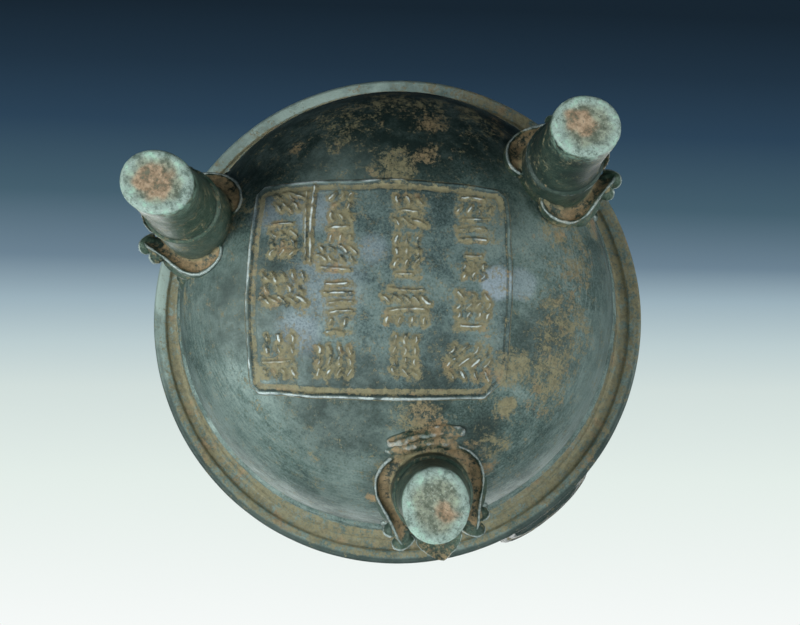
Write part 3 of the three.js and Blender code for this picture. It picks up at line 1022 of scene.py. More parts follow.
def inscribed_field():
    top, marks = field_grid("inscribed_field", sizes().field_grain / MM)
    back, _ = field_grid("field_back", 4.0, depth=1.6)
    obj = joined([top, back], "inscribed_field")
    with edit_mode(obj):
        bpy.ops.mesh.select_all(action="DESELECT")
        bpy.ops.mesh.select_non_manifold()
        bpy.ops.mesh.bridge_edge_loops()
        bpy.ops.mesh.select_all(action="SELECT")
        bpy.ops.mesh.normals_make_consistent(inside=False)
    settle(obj)
    for name, values in marks.items():
        store(obj, name, np.concatenate([values, np.zeros(len(obj.data.vertices) - len(values))]))
    return obj


# ---- The thunder pattern ----
# One square spiral, from -1 to 1 across and up.
SPIRAL = [(-1, -1), (1, -1), (1, 1), (-0.5, 1), (-0.5, -0.35), (0.42, -0.35), (0.42, 0.42), (0, 0.42)]


def thunder_band():
    """Square spirals in low relief round the shoulder band, every other one turned half round."""
    units = sizes().pattern_units
    pitch = math.tau * BAND_RADIUS / units
    low, high = BAND_LOW + 2.6, BAND_HIGH - 2.7
    half, tall = pitch / 2 - 0.55, (high - low) / 2
    curve = new_curve("thunder_band", bevel_depth=sizes().pattern_line, bevel_resolution=0)
    for i in range(units):
        side = 1 if i % 2 else -1
        points = []
        for u, v in SPIRAL:
            angle = (i * pitch + side * u * half) / BAND_RADIUS
            level = (low + high) / 2 + side * v * tall
            points.append((PATTERN_RADIUS * math.cos(angle), PATTERN_RADIUS * math.sin(angle), level))
        add_line(curve, points)
    obj = meshed(curve)
    settle(obj)
    return obj


# ---- Materials ----
class Graph:
    """A shorthand for adding and linking shader nodes."""

    def __init__(self, tree):
        self.tree = tree

    def add(self, kind, inputs=None, **settings):
        """A node with its inputs linked or set."""
        node = self.tree.nodes.new(kind)
        for name, value in settings.items():
            setattr(node, name, value)
        for name, value in (inputs or {}).items():
            self.feed(node.inputs[name], value)
        return node

    def feed(self, socket, value):
        if isinstance(value, bpy.types.NodeSocket):
            self.tree.links.new(value, socket)
        elif value is not None:
            socket.default_value = value

    def math(self, operation, a, b):
        return self.add("ShaderNodeMath", {0: a, 1: b}, operation=operation).outputs[0]

    def chain(self, operation, values):
        """The operation on the first two values, then on that and each further one."""
        total = values[0]
        for value in values[1:]:
            total = self.math(operation, total, value)
        return total

    def plus(self, *values):
        return self.chain("ADD", values)

    def less(self, *values):
        return self.chain("SUBTRACT", values)

    def times(self, *values):
        return self.chain("MULTIPLY", values)

    def most(self, *values):
        return self.chain("MAXIMUM", values)

    def vector(self, operation, a, b=None, scale=None):
        node = self.add("ShaderNodeVectorMath", {0: a, 1: b}, operation=operation)
        if scale is not None:
            self.feed(node.inputs["Scale"], scale)
        return node.outputs["Value" if operation in ("LENGTH", "DISTANCE", "DOT_PRODUCT") else "Vector"]

    def noise(self, where, scale, detail, roughness, distortion=0.0):
        inputs = {"Vector": where, "Scale": scale, "Detail": detail, "Roughness": roughness}
        inputs["Distortion"] = distortion
        return self.add("ShaderNodeTexNoise", inputs).outputs["Fac"]

    def ramp(self, value, low, high, to_low=0.0, to_high=1.0):
        """A smooth change from to_low at low to to_high at high."""
        inputs = {"Value": value, "From Min": low, "From Max": high, "To Min": to_low, "To Max": to_high}
        return self.add("ShaderNodeMapRange", inputs, interpolation_type="SMOOTHSTEP").outputs["Result"]

    def mix(self, factor, a, b):
        """A blend of two colours."""
        node = self.add("ShaderNodeMix", data_type="RGBA")
        # The node has a set of sockets for each type of data, and these are the colours'.
        for socket, value in zip((node.inputs[0], node.inputs[6], node.inputs[7]), (factor, a, b)):
            self.feed(socket, value)
        return node.outputs[2]

    def attribute(self, name):
        return self.add("ShaderNodeAttribute", attribute_name=name).outputs["Fac"]


def group(name, inputs, outputs):
    """A new node group as its graph, what it is given and where its results go."""
    tree = bpy.data.node_groups.new(name, "ShaderNodeTree")
    for direction, table in (("INPUT", inputs), ("OUTPUT", outputs)):
        for label, kind, *value in table:
            socket = tree.interface.new_socket(label, in_out=direction, socket_type="NodeSocket" + kind)
            if value:
                socket.default_value = value[0]
    graph = Graph(tree)
    return graph, graph.add("NodeGroupInput").outputs, graph.add("NodeGroupOutput").inputs


def place_group(graph, name, inputs):
    node = graph.add("ShaderNodeGroup", node_tree=bpy.data.node_groups[name])
    for label, value in inputs.items():
        graph.feed(node.inputs[label], value)
    return node.outputs


def linear(value):
    return (*value, 1.0)


def build_patina_group():
    """Rubbed slate over dark bronze, with grain and streaks that run round the vessel."""
    colour_inputs = [(name, "Color") for name in ("Slate", "Night", "Worn")]
    g, given, result = group(
        "Slate patina",
        [("Vector", "Vector"), *colour_inputs, ("Rubbing", "Float", 0.5)],
        [("Color", "Color"), ("Tone", "Float"), ("Grain", "Float")],
    )
    where = given["Vector"]
    clouds = g.noise(where, 24.0, 5.0, 0.6, 0.6)
    mottle = g.noise(where, 140.0, 6.0, 0.7, 0.3)
    grain = g.noise(where, 1150.0, 3.0, 0.75)
    flat = g.vector("MULTIPLY", where, (1.0, 1.0, 0.0))
    radius = g.vector("LENGTH", flat)
    level = g.plus(radius, g.add("ShaderNodeSeparateXYZ", {"Vector": where}).outputs["Z"])
    ring = g.add("ShaderNodeCombineXYZ", {"Z": g.times(level, 620.0)}).outputs["Vector"]
    bearing = g.vector("SCALE", g.vector("NORMALIZE", flat), scale=8.0)
    streaks = g.noise(g.vector("ADD", bearing, ring), 1.0, 3.0, 0.65)
    streaks = g.times(g.less(streaks, 0.5), g.ramp(radius, 0.045, 0.080))
    tone = g.plus(g.times(clouds, 0.6), g.times(mottle, 0.4))
    lift = g.plus(g.times(given["Rubbing"], 0.2), g.times(streaks, 0.55))
    base = g.mix(g.times(g.ramp(tone, 0.52, 0.38), 0.5), given["Slate"], given["Night"])
    base = g.mix(g.times(g.ramp(g.plus(tone, lift), 0.52, 0.74), 0.7), base, given["Worn"])
    base = g.mix(g.ramp(grain, 0.40, 0.75, 0.0, 0.5), base, given["Worn"])
    base = g.mix(g.ramp(grain, 0.52, 0.25, 0.0, 0.6), base, given["Night"])
    g.feed(result["Color"], base)
    g.feed(result["Tone"], tone)
    g.feed(result["Grain"], grain)


def build_blotch_group():
    """A ragged soft-edged spot round a place, 1 inside and 0 outside."""
    reaches = [("Radius", "Float", 0.02), ("Feather", "Float", 0.01), ("Ragged", "Float", 0.01)]
    g, given, result = group(
        "Blotch", [("Vector", "Vector"), ("Place", "Vector"), *reaches], [("Mask", "Float")]
    )
    warp = g.less(g.noise(given["Vector"], 70.0, 6.0, 0.65, 0.4), 0.5)
    distance = g.vector("DISTANCE", given["Vector"], given["Place"])
    distance = g.plus(distance, g.times(warp, g.times(given["Ragged"], 2.0)))
    outer = g.plus(given["Radius"], given["Feather"])
    inner = g.less(given["Radius"], given["Feather"])
    g.feed(result["Mask"], g.ramp(distance, outer, inner))


def build_soil_group():
    """Soil in clusters of fine specks, closer together where Amount is higher."""
    g, given, result = group(
        "Soil",
        [("Vector", "Vector"), ("Amount", "Float", 0.3), ("Pitch", "Float", 190.0)],
        [("Mask", "Float")],
    )
    clusters = g.noise(given["Vector"], given["Pitch"], 6.0, 0.7, 0.4)
    specks = g.noise(given["Vector"], g.times(given["Pitch"], 4.5), 5.0, 0.8)
    value = g.plus(g.times(clusters, 0.48), g.times(specks, 0.52))
    edge = g.less(0.61, g.times(given["Amount"], 0.2))
    g.feed(result["Mask"], g.ramp(g.less(value, edge), -0.03, 0.07))


# Places on the bowl in millimetres: dark patina with painted shade where the legs shadow the
# bowl, on the right leg and beside the field; olive soil; orange soil; pale rubbing with painted
# sheen; and bluish scuffs with a painted sheen on the field's left; each with its radius,
# feather and strength.
DARK_AND_SHADED_PLACES = [
    ((-50, -46, 58), 36, 14, 0.95),
    ((-28, -63, 58), 22, 12, 0.95),
    ((-72, -4, 62), 28, 12, 0.9),
    ((-88, -22, 90), 30, 14, 0.8),
    ((-60, -60, 82), 34, 14, 0.85),
    ((4, -50, 45), 8, 6, 0.8),
    ((46, -15, 45), 7, 6, 0.7),
    ((54, 44, 58), 12, 8, 0.8),
    ((60, 8, 51), 8, 6, 0.8),
    ((38, 14, 42), 10, 4, 0.75),
    ((29, 1, 39), 8, 6, 0.6),
    ((47, -29, 48), 13, 8, 0.6),
    ((-56, -8, 47), 11, 7, 0.75),
    ((-44, -22, 44), 10, 6, 0.6),
    ((30, 50, 49), 14, 8, 0.5),
    ((38, 66, 74), 12, 8, 0.4),
    ((0, -72, 24), 28, 8, 0.95),
    ((22, 42, 44), 20, 10, 0.95),
    ((-28, 48, 50), 17, 10, 0.95),
    ((-36, 32, 45), 10, 6, 0.7),
    ((2, 46, 43), 14, 8, 0.75),
    ((55, 13, 48.5), 2.2, 1.2, 1.0),
    ((-70, 18, 62), 14, 8, 0.7),
]
SOIL_PLACES = [
    ((-62, -26, 56), 14, 12, 0.62),
    ((-26, -66, 61), 14, 12, 0.52),
    ((-8, -72, 64), 12, 10, 0.48),
    ((-50, -56, 64), 14, 12, 0.52),
    ((-57, -18, 51), 9, 8, 0.55),
    ((-59, -48, 67), 16, 8, 0.55),
    ((-34, -28, 42), 9, 6, 0.8),
    ((-37, -65, 66), 9, 8, 0.6),
    ((33, -58, 56), 13, 10, 0.62),
    ((50, -40, 53), 17, 12, 0.66),
    ((61, -22, 55), 14, 10, 0.72),
    ((50, -14, 46), 9, 6, 0.8),
    ((58, -4, 50), 5, 3, 0.95),
    ((66, 8, 56), 7, 5, 0.7),
    ((22, -62, 58), 14, 10, 0.5),
    ((24, -76, 74), 8, 7, 0.95),
    ((20, -60, 54), 9, 7, 0.7),
    ((-64, 26, 58), 12, 8, 0.6),
    ((-49, 62, 73), 10, 9, 0.5),
    ((43, 23, 45), 8, 6, 0.85),
    ((50, 26, 48.5), 5, 4, 0.9),
    ((49, 33, 49.6), 4, 3, 0.85),
    ((49, 37, 51.5), 4, 3, 0.9),
    ((49, 48, 57.4), 3, 3, 0.6),
]
RUST_PLACES = [
    ((-41, -50, 54), 7, 5, 0.72),
    ((-31, -40, 45), 6, 4, 0.68),
    ((-64, -5, 54), 4, 3, 0.75),
    ((-29, -72, 74), 6, 5, 0.6),
    ((24, -78, 76), 6, 5, 0.8),
    ((42, 20, 44), 5, 4, 0.5),
    ((48.6, 20, 46.4), 4.5, 3, 0.95),
    ((52.8, 53.5, 65.8), 2.5, 2, 0.9),
    ((60.8, 14.2, 52.5), 3.5, 2, 0.6),
    ((71, 14, 62), 4, 3, 0.7),
    ((40, -52, 52), 7, 6, 0.4),
]
PALE_AND_SHEEN_PLACES = [
    ((-46, -11, 44), 13, 8, 0.4),
    ((2, 80, 76), 22, 14, 0.35),
    ((-39, 53, 56), 22, 14, 0.45),
    ((49, 60, 70), 18, 12, 0.35),
    ((70, -40, 78), 24, 12, 0.6),
    ((82, -4, 88), 18, 12, 0.55),
    ((61, -51, 74), 13, 8, 0.75),
    ((74, -39, 87), 14, 8, 0.8),
    ((42, -68, 72), 10, 8, 0.5),
    ((43, 35, 47.5), 5, 3, 0.5),
    ((54, 17, 48.5), 4, 3, 0.7),
    ((8, 88, 96), 20, 12, 0.6),
]
SCUFF_AND_SHEEN_PLACES = [
    ((22, -29, 41), 6, 1.2, 0.8),
    ((28, -36, 43), 6, 1.2, 0.38),
    ((-16, 20, 37), 13, 6, 0.35),
    ((-9, 36, 41), 7, 5, 0.5),
    ((-40, 5, 41.5), 7, 5, 0.5),
    ((-50, 19, 47), 6, 4, 0.45),
    ((-15, -2, 37.5), 5, 3, 0.4),
]


# Soil in the dark and painted-shade places, and the colours of a foot's worn face: its skin
# and the dimmer parts of it, the olive core and the brown patch from dark to light, and the specks.
SHELTERED_EARTH = (0.200, 0.205, 0.120, 1.0)
FACE_SKIN = (0.262, 0.345, 0.312, 1.0)
FACE_DIM = (0.085, 0.130, 0.108, 1.0)
FACE_OLIVES = (0.070, 0.076, 0.044, 1.0), (0.235, 0.235, 0.160, 1.0)
FACE_BROWNS = (0.180, 0.115, 0.065, 1.0), (0.370, 0.270, 0.180, 1.0)
FACE_PITS = (0.035, 0.058, 0.042, 1.0)
FACE_GRAINS = (0.480, 0.570, 0.500, 1.0)


def blotches(graph, where, places):
    """A mask of all these places together."""
    masks = []
    for place, radius, feather, strength in places:
        inputs = {
            "Vector": where,
            "Place": tuple(c * MM for c in place),
            "Radius": radius * MM,
            "Feather": feather * MM,
            "Ragged": radius * 0.45 * MM,
        }
        masks.append(graph.times(place_group(graph, "Blotch", inputs)["Mask"], strength))
    return graph.most(*masks)


def rim_masks(g, where, level, tone):
    """Masks of the rim's underside: its cove, its lip, how far to the upper left it is painted paler as a
    sheen, and its brink painted dark as shade.

    Radii and levels are in metres.
    """
    radius = g.vector("LENGTH", g.vector("MULTIPLY", where, (1.0, 1.0, 0.0)))
    under = g.times(g.ramp(level, 0.1315, 0.1310), g.ramp(level, 0.118, 0.124))
    cove = g.times(g.ramp(radius, 0.0862, 0.0875), g.ramp(radius, 0.0958, 0.0948), under)
    lip = g.times(g.ramp(radius, 0.0948, 0.0956), under)
    # How far to the upper left: there the rim is painted paler as a sheen.
    leftwards = g.vector("DOT_PRODUCT", where, (-0.98, 0.19, 0.0))
    far = g.ramp(g.plus(leftwards, g.times(tone, 0.06)), 0.06, 0.115)
    # The outer brink towards the bottom of the view, painted dark as shade.
    nearer = g.ramp(g.vector("DOT_PRODUCT", where, tuple(CAMERA_DOWN)), 0.01, 0.06)
    brink = g.times(g.ramp(radius, 0.0970, 0.0985), nearer, 0.8)
    return cove, lip, far, brink


def foot_face(g, where, level, base, verdigris):
    """Lays the worn face over a foot, and verdigris that creeps up the leg from it."""
    core, patch = g.attribute("core"), g.attribute("patch")
    speck = g.noise(where, 850.0, 4.0, 0.85)
    shade = g.noise(where, 240.0, 6.0, 0.75)
    face = g.mix(g.ramp(shade, 0.50, 0.66, 0.0, 0.9), FACE_SKIN, verdigris)
    face = g.mix(g.ramp(shade, 0.50, 0.38, 0.0, 0.85), face, FACE_DIM)
    face = g.mix(g.times(core, 0.75), face, g.mix(g.ramp(shade, 0.42, 0.60), *FACE_OLIVES))
    brown = g.mix(g.ramp(shade, 0.40, 0.62), *FACE_BROWNS)
    face = g.mix(g.times(patch, g.ramp(shade, 0.36, 0.50, 0.2, 1.0)), face, brown)
    face = g.mix(g.ramp(speck, 0.47, 0.36, 0.0, 0.6), face, FACE_PITS)
    grains = g.times(g.ramp(speck, 0.56, 0.70, 0.0, 0.55), g.less(1.0, g.times(patch, 0.8)))
    face = g.mix(grains, face, FACE_GRAINS)
    creep = g.times(g.ramp(level, 0.012, 0.001), g.ramp(shade, 0.44, 0.60, 0.0, 0.55))
    return g.mix(g.attribute("foot"), g.mix(creep, base, verdigris), face)


def bronze(name, metal="slate", worn="worn", soil=0.22, rubbing=0.5, relief=False, channel=False,
           feet=False, zones=True):
    """The vessel's bronze for one piece. relief, channel and feet say which marks it has."""
    tint = SimpleNamespace(**{key: linear(getattr(colours(), key)) for key in DingColours.__annotations__})
    material = bpy.data.materials.new(name)
    material.use_nodes = True
    material.node_tree.nodes.clear()
    g = Graph(material.node_tree)
    where = g.add("ShaderNodeTexCoord").outputs["Object"]
    level = g.add("ShaderNodeSeparateXYZ", {"Vector": where}).outputs["Z"]
    metals = {"Slate": getattr(tint, metal), "Night": tint.night, "Worn": getattr(tint, worn)}
    patina = place_group(g, "Slate patina", {"Vector": where, "Rubbing": rubbing, **metals})
    base, tone, grain = patina["Color"], patina["Tone"], patina["Grain"]

    amount, rusty, dark_and_shade = soil, 0.0, 0.0
    if zones:
        # Dark patina, and painted shade where the legs shadow the bowl, on the right leg and beside the
        # field.
        dark_and_shade = blotches(g, where, DARK_AND_SHADED_PLACES)
        base = g.mix(g.times(dark_and_shade, g.ramp(tone, 0.62, 0.44, 0.55, 0.97)), base, tint.night)
        # Paler rubbed bronze, and painted sheen where light glances off the belly and the welt.
        pale = blotches(g, where, PALE_AND_SHEEN_PLACES)
        base = g.mix(g.times(pale, g.ramp(tone, 0.3, 0.65, 0.25, 0.8)), base, tint.worn)
        # Bluish scuffs by the frame's right side, and a painted bluish sheen on the field's left.
        scuff_and_sheen = blotches(g, where, SCUFF_AND_SHEEN_PLACES)
        base = g.mix(g.times(scuff_and_sheen, g.ramp(grain, 0.3, 0.6, 0.6, 1.0)), base, tint.scuff_and_sheen)
        rusty = blotches(g, where, RUST_PLACES)
        amount = g.most(blotches(g, where, SOIL_PLACES), soil, rusty)

    # The rim's underside is rubbed pale along its edge and olive with soil in its grooves. On its
    # upper-left side it is painted paler as a sheen, and its brink towards the bottom of the view is
    # painted dark as shade.
    cove, lip, far, brink = rim_masks(g, where, level, tone)
    pale = g.times(lip, g.times(g.plus(far, 0.25), g.ramp(tone, 0.35, 0.6, 0.45, 0.95)))
    base = g.mix(pale, base, tint.lip)
    base = g.mix(g.times(cove, g.plus(g.times(far, 0.5), 0.15)), base, tint.lip)
    base = g.mix(brink, base, tint.night)
    lip_soil = g.less(0.75, g.times(far, 0.5), g.times(brink, 0.7))
    amount = g.most(amount, g.times(cove, 0.85), g.times(lip, lip_soil))

    if relief:
        # Soil in hollows, with painted shade darkening them. On the field this mark is the painted shadow
        # beside the strokes, with dark lines round the frame.
        hollow = g.attribute("hollow")
        amount = g.most(amount, g.ramp(hollow, 0.12, 0.7, 0.0, 0.9))
        base = g.mix(g.ramp(hollow, 0.05, 0.4, 0.0, 0.7), base, tint.night)
    if channel:
        amount = g.most(amount, g.attribute("channel"))
    if feet:
        patchy = g.ramp(g.noise(where, 90.0, 4.0, 0.7), 0.40, 0.56, 0.55, 0.95)
        trough = g.times(g.attribute("trough"), patchy)
        amount = g.most(amount, trough)
        rusty = g.most(rusty, g.times(trough, 0.8))

    mask = place_group(g, "Soil", {"Vector": where, "Amount": amount, "Pitch": 190.0})["Mask"]
    redness = g.ramp(g.noise(where, 120.0, 5.0, 0.7), 0.52, 0.72, 0.0, 0.7)
    ground = g.mix(g.most(redness, g.times(rusty, 0.8)), tint.earth, tint.rust)
    if zones:
        ground = g.mix(g.times(dark_and_shade, 0.2), ground, SHELTERED_EARTH)
    deep = g.ramp(g.noise(where, 420.0, 5.0, 0.8), 0.56, 0.40, 0.0, 0.6)
    ground = g.mix(deep, ground, tuple(c * 0.4 for c in tint.earth))
    base = g.mix(g.times(mask, 0.86), base, ground)
    rough = g.plus(g.ramp(tone, 0.35, 0.65, 0.60, 0.46), g.times(mask, 0.25))
    metallic = g.less(0.36, g.times(mask, 0.32))
    if relief:
        # Rubbed bright metal on the crests, with a painted highlight; on the field it is brighter at the
        # upper left and along the frame's bottom.
        edge = g.times(g.ramp(g.attribute("crest"), 0.15, 0.75), g.ramp(grain, 0.3, 0.6, 0.4, 1.0))
        base = g.mix(g.times(edge, 0.38 if feet else 0.85), base, tint.bright)
        rough = g.less(rough, g.times(edge, 0.15))
    if feet:
        base = foot_face(g, where, level, base, tint.verdigris)
        rough = g.plus(rough, g.times(g.attribute("foot"), 0.25))
        metallic = g.times(metallic, g.less(1.0, g.attribute("foot")))

    fine = g.noise(where, 330.0, 6.0, 0.75)
    height = g.plus(g.times(grain, 0.5), g.times(mask, 0.5), g.times(fine, 1.1))
    bump = g.add("ShaderNodeBump", {"Strength": 0.45, "Distance": 0.0004, "Height": height})
    looks = {"Base Color": base, "Roughness": rough, "Metallic": metallic, "Normal": bump.outputs["Normal"]}
    shader = g.add("ShaderNodeBsdfPrincipled", looks)
    g.add("ShaderNodeOutputMaterial", {"Surface": shader.outputs["BSDF"]}, target="ALL")


# ---- Operators ----
class DING_OT_materials(bpy.types.Operator):
    """Make the patina groups and the bronze of each piece"""

    bl_idname = "ding.materials"
    bl_label = "Bronze and patina"

    def execute(self, context):
        build_patina_group()
        build_blotch_group()
        build_soil_group()
        bronze("bronze_bowl")
        bronze("bronze_field", metal="field", soil=0.3, rubbing=0.6, relief=True, channel=True)
        bronze("bronze_legs", "leg", "leg_worn", soil=0.3, rubbing=0.2, relief=True, feet=True)
        bronze("bronze_handles", soil=0.2, relief=True, zones=False)
        bronze("bronze_band", soil=0.2, zones=False)
        return {"FINISHED"}


class DING_OT_bowl(bpy.types.Operator):
    """Turn the bowl with its shoulder band and flat rim"""

    bl_idname = "ding.bowl"
    bl_label = "Bowl"

    def execute(self, context):
        bowl = turned("ding_bowl", bowl_profile(), sizes().turns)
        settle(bowl)
        finish(bowl, bpy.data.materials["bronze_bowl"])
        return {"FINISHED"}


class DING_OT_field(bpy.types.Operator):
    """Lay the framed field of strokes under the bowl"""

    bl_idname = "ding.field"
    bl_label = "Framed field"

    def execute(self, context):
        finish(inscribed_field(), bpy.data.materials["bronze_field"], 180)
        return {"FINISHED"}


class DING_OT_legs(bpy.types.Operator):
    """Model the three legs that come out of beast masks"""

    bl_idname = "ding.legs"
    bl_label = "Beast legs"

    def execute(self, context):
        for name, turn, reach in leg_places():
            finish(beast_leg(name, turn, reach), bpy.data.materials["bronze_legs"], 180)
        return {"FINISHED"}


class DING_OT_handles(bpy.types.Operator):
    """Stand the two loop handles on the rim"""

    bl_idname = "ding.handles"
    bl_label = "Handles"

    def execute(self, context):
        for name, half_turn in (("handle_right", False), ("handle_left", True)):
            finish(loop_handle(name, half_turn), bpy.data.materials["bronze_handles"], 180)
        return {"FINISHED"}


class DING_OT_band(bpy.types.Operator):
    """Run the thunder pattern round the shoulder band"""

    bl_idname = "ding.band"
    bl_label = "Thunder band"

    def execute(self, context):
        finish(thunder_band(), bpy.data.materials["bronze_band"], 40)
        return {"FINISHED"}


def plain_sheet(name, size, place, face_down):
    deselect()
    bpy.ops.mesh.primitive_plane_add(size=size, location=place)
    bpy.ops.object.transform_apply(location=True, rotation=True, scale=True)
    obj = bpy.context.object
    obj.name = name
    if face_down:
        with edit_mode(obj):
            bpy.ops.mesh.flip_normals()
    for ray in ("shadow", "diffuse", "glossy", "transmission"):
        setattr(obj, "visible_" + ray, False)
    return obj


def one_sided(name):
    """A material whose back lets everything through, its graph and the socket of its front."""
    material = bpy.data.materials.new(name)
    material.use_nodes = True
    material.node_tree.nodes.clear()
    g = Graph(material.node_tree)
    back = g.add("ShaderNodeNewGeometry").outputs["Backfacing"]
    clear = g.add("ShaderNodeBsdfTransparent").outputs["BSDF"]
    mixer = g.add("ShaderNodeMixShader", {0: back, 2: clear})
    g.add("ShaderNodeOutputMaterial", {"Surface": mixer.outputs[0]})
    return material, g, mixer.inputs[1]


def graded(graph, value, table):
    """A colour that changes with a value, from a table of positions and colours."""
    node = graph.add("ShaderNodeValToRGB", {"Fac": value})
    stops = node.color_ramp.elements
    for i, (position, shade) in enumerate(table):
        stop = stops[i] if i < 2 else stops.new(position)
        stop.position = position
        stop.color = linear(shade)
    return node.outputs["Color"]


# The backdrop's glow, a painted gradient of light from the top of the view to its foot, and the
# studio's light from above the camera's view to below it.
BACKDROP = [
    (0.00, (0.009, 0.019, 0.031)),
    (0.10, (0.015, 0.033, 0.056)),
    (0.20, (0.025, 0.056, 0.095)),
    (0.32, (0.060, 0.115, 0.155)),
    (0.42, (0.150, 0.225, 0.290)),
    (0.48, (0.330, 0.440, 0.500)),
    (0.55, (0.500, 0.610, 0.630)),
    (0.62, (0.640, 0.730, 0.710)),
    (0.76, (0.770, 0.850, 0.810)),
    (1.00, (0.920, 0.950, 0.940)),
]
STUDIO = [
    (0.0, (0.010, 0.018, 0.028)),
    (0.42, (0.035, 0.055, 0.070)),
    (0.62, (0.180, 0.220, 0.230)),
    (1.0, (0.550, 0.600, 0.580)),
]
# Each light's name, its steps right, down and ahead from the vessel as the camera sees them,
# its size, power and tint. All these stay below the floor, which lets them through.
LIGHTS = [
    ("front", (0.1, 0.05, -0.95), 0.45, 2.6, (0.94, 1.0, 0.97)),
    ("raking", (-0.6, 0.08, -0.78), 0.4, 5.6, (0.97, 1.0, 0.97)),
    ("sweep_left", (-0.8, 0.3, -0.36), 0.36, 3.8, (0.96, 1.0, 0.98)),
    ("sweep_down", (-0.2, 0.85, -0.5), 0.36, 1.8, (0.97, 1.0, 1.0)),
    ("sweep_right", (0.85, 0.1, -0.36), 0.36, 4.4, (0.97, 1.0, 1.0)),
]


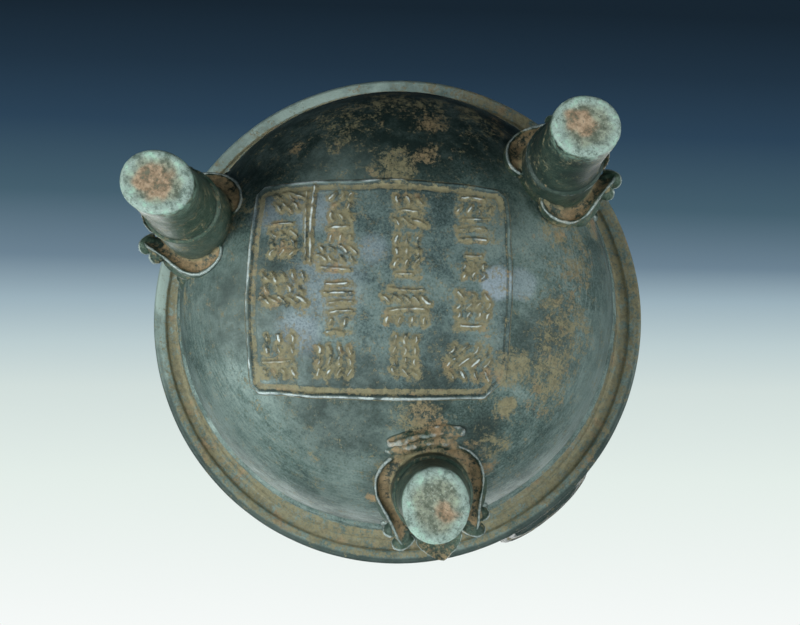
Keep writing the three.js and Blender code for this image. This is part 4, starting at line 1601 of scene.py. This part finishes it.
class DING_OT_stage(bpy.types.Operator):
    """Set the floor, the backdrop, the lights and the camera"""

    bl_idname = "ding.stage"
    bl_label = "Stage"

    def execute(self, context):
        self.camera(context.scene)
        self.floor()
        self.backdrop()
        self.world(context.scene)
        self.lights()
        return {"FINISHED"}

    def camera(self, scene):
        data = bpy.data.cameras.new("camera")
        data.lens = LENS
        data.sensor_width = SENSOR_WIDTH
        data.clip_start = 0.01
        camera = bpy.data.objects.new("camera", data)
        axes = Matrix((CAMERA_RIGHT, -CAMERA_DOWN, -CAMERA_FORWARD)).transposed()
        camera.matrix_world = Matrix.Translation(CAMERA_PLACE) @ axes.to_4x4()
        scene.collection.objects.link(camera)
        scene.camera = camera

    def floor(self):
        floor = plain_sheet("floor", 6.0, (0, 0, 0), face_down=False)
        material, g, front = one_sided("pale_floor")
        looks = {"Base Color": (0.62, 0.64, 0.63, 1), "Roughness": 0.8}
        shader = g.add("ShaderNodeBsdfPrincipled", looks)
        g.feed(front, shader.outputs["BSDF"])
        floor.data.materials.append(material)

    def backdrop(self):
        run = (BACKDROP_LEVEL - CAMERA_PLACE.z) / CAMERA_FORWARD.z
        middle = CAMERA_PLACE + CAMERA_FORWARD * run
        drop = plain_sheet("backdrop", 0.75, middle, face_down=True)
        material, g, front = one_sided("graded_backdrop")
        where = g.add("ShaderNodeTexCoord").outputs["Object"]
        offset = g.vector("SUBTRACT", where, tuple(middle))
        view_height = VIEW_ASPECT * SENSOR_WIDTH / LENS * run
        down = g.vector("DOT_PRODUCT", offset, tuple(CAMERA_DOWN))
        across = g.vector("DOT_PRODUCT", offset, tuple(CAMERA_RIGHT))
        share = g.plus(g.times(down, 1 / view_height), 0.5)
        tilt = g.times(across, g.ramp(share, 0.34, 0.50, -0.115, -0.02))
        shade = graded(g, g.plus(share, tilt), BACKDROP)
        # The backdrop glows with this painted gradient of light.
        glow = g.add("ShaderNodeEmission", {"Color": shade, "Strength": 1.0})
        g.feed(front, glow.outputs["Emission"])
        drop.data.materials.append(material)

    def world(self, scene):
        world = bpy.data.worlds.new("studio")
        scene.world = world
        world.use_nodes = True
        world.node_tree.nodes.clear()
        g = Graph(world.node_tree)
        direction = g.add("ShaderNodeTexCoord").outputs["Generated"]
        side = g.vector("DOT_PRODUCT", direction, tuple(CAMERA_DOWN))
        shade = graded(g, g.plus(g.times(side, 0.5), 0.5), STUDIO)
        seen = g.add("ShaderNodeLightPath").outputs["Is Camera Ray"]
        light = g.add("ShaderNodeBackground", {"Color": shade, "Strength": 0.9})
        plain = g.add("ShaderNodeBackground", {"Color": (0.80, 0.82, 0.82, 1), "Strength": 1.0})
        both = g.add("ShaderNodeMixShader", {0: seen, 1: light.outputs[0], 2: plain.outputs[0]})
        g.add("ShaderNodeOutputWorld", {"Surface": both.outputs[0]})

    def lights(self):
        target = Vector((0, 0, 0.07))
        axes = Matrix((CAMERA_RIGHT, CAMERA_DOWN, CAMERA_FORWARD)).transposed()
        for name, steps, size, power, tint in LIGHTS:
            self.light(name, target + axes @ Vector(steps), target, size, power, tint)
        self.light("above", Vector((0.1, 0.1, 1.2)), target, 1.0, 16.0, (1.0, 0.99, 0.97))

    def light(self, name, place, target, size, power, tint):
        data = bpy.data.lights.new(name, "AREA")
        data.shape = "SQUARE"
        data.size = size
        data.energy = power
        data.color = tint
        light = bpy.data.objects.new(name, data)
        aim = (target - place).to_track_quat("-Z", "Y").to_matrix().to_4x4()
        light.matrix_world = Matrix.Translation(place) @ aim
        bpy.context.scene.collection.objects.link(light)


class DING_PT_panel(bpy.types.Panel):
    """Lists the vessel's pieces, sizes and colours"""

    bl_idname = "DING_PT_panel"
    bl_label = "Bronze ding"
    bl_space_type = "VIEW_3D"
    bl_region_type = "UI"
    bl_category = "Ding"

    def draw(self, context):
        layout = self.layout
        for operator in OPERATORS:
            layout.operator(operator.bl_idname)
        for settings in (context.scene.ding_sizes, context.scene.ding_colours):
            box = layout.box()
            for name in settings.__annotations__:
                box.prop(settings, name)


OPERATORS = [
    DING_OT_materials,
    DING_OT_bowl,
    DING_OT_field,
    DING_OT_legs,
    DING_OT_handles,
    DING_OT_band,
    DING_OT_stage,
]
CLASSES = [DingSizes, DingColours, *OPERATORS, DING_PT_panel]


def register():
    for item in CLASSES:
        bpy.utils.register_class(item)
    bpy.types.Scene.ding_sizes = PointerProperty(type=DingSizes)
    bpy.types.Scene.ding_colours = PointerProperty(type=DingColours)


def unregister():
    del bpy.types.Scene.ding_colours
    del bpy.types.Scene.ding_sizes
    for item in reversed(CLASSES):
        bpy.utils.unregister_class(item)


def main():
    register()
    bpy.context.scene.view_settings.view_transform = "Standard"
    bpy.ops.ding.materials()
    bpy.ops.ding.bowl()
    bpy.ops.ding.field()
    bpy.ops.ding.legs()
    bpy.ops.ding.handles()
    bpy.ops.ding.band()
    bpy.ops.ding.stage()


if __name__ == "__main__":
    main()
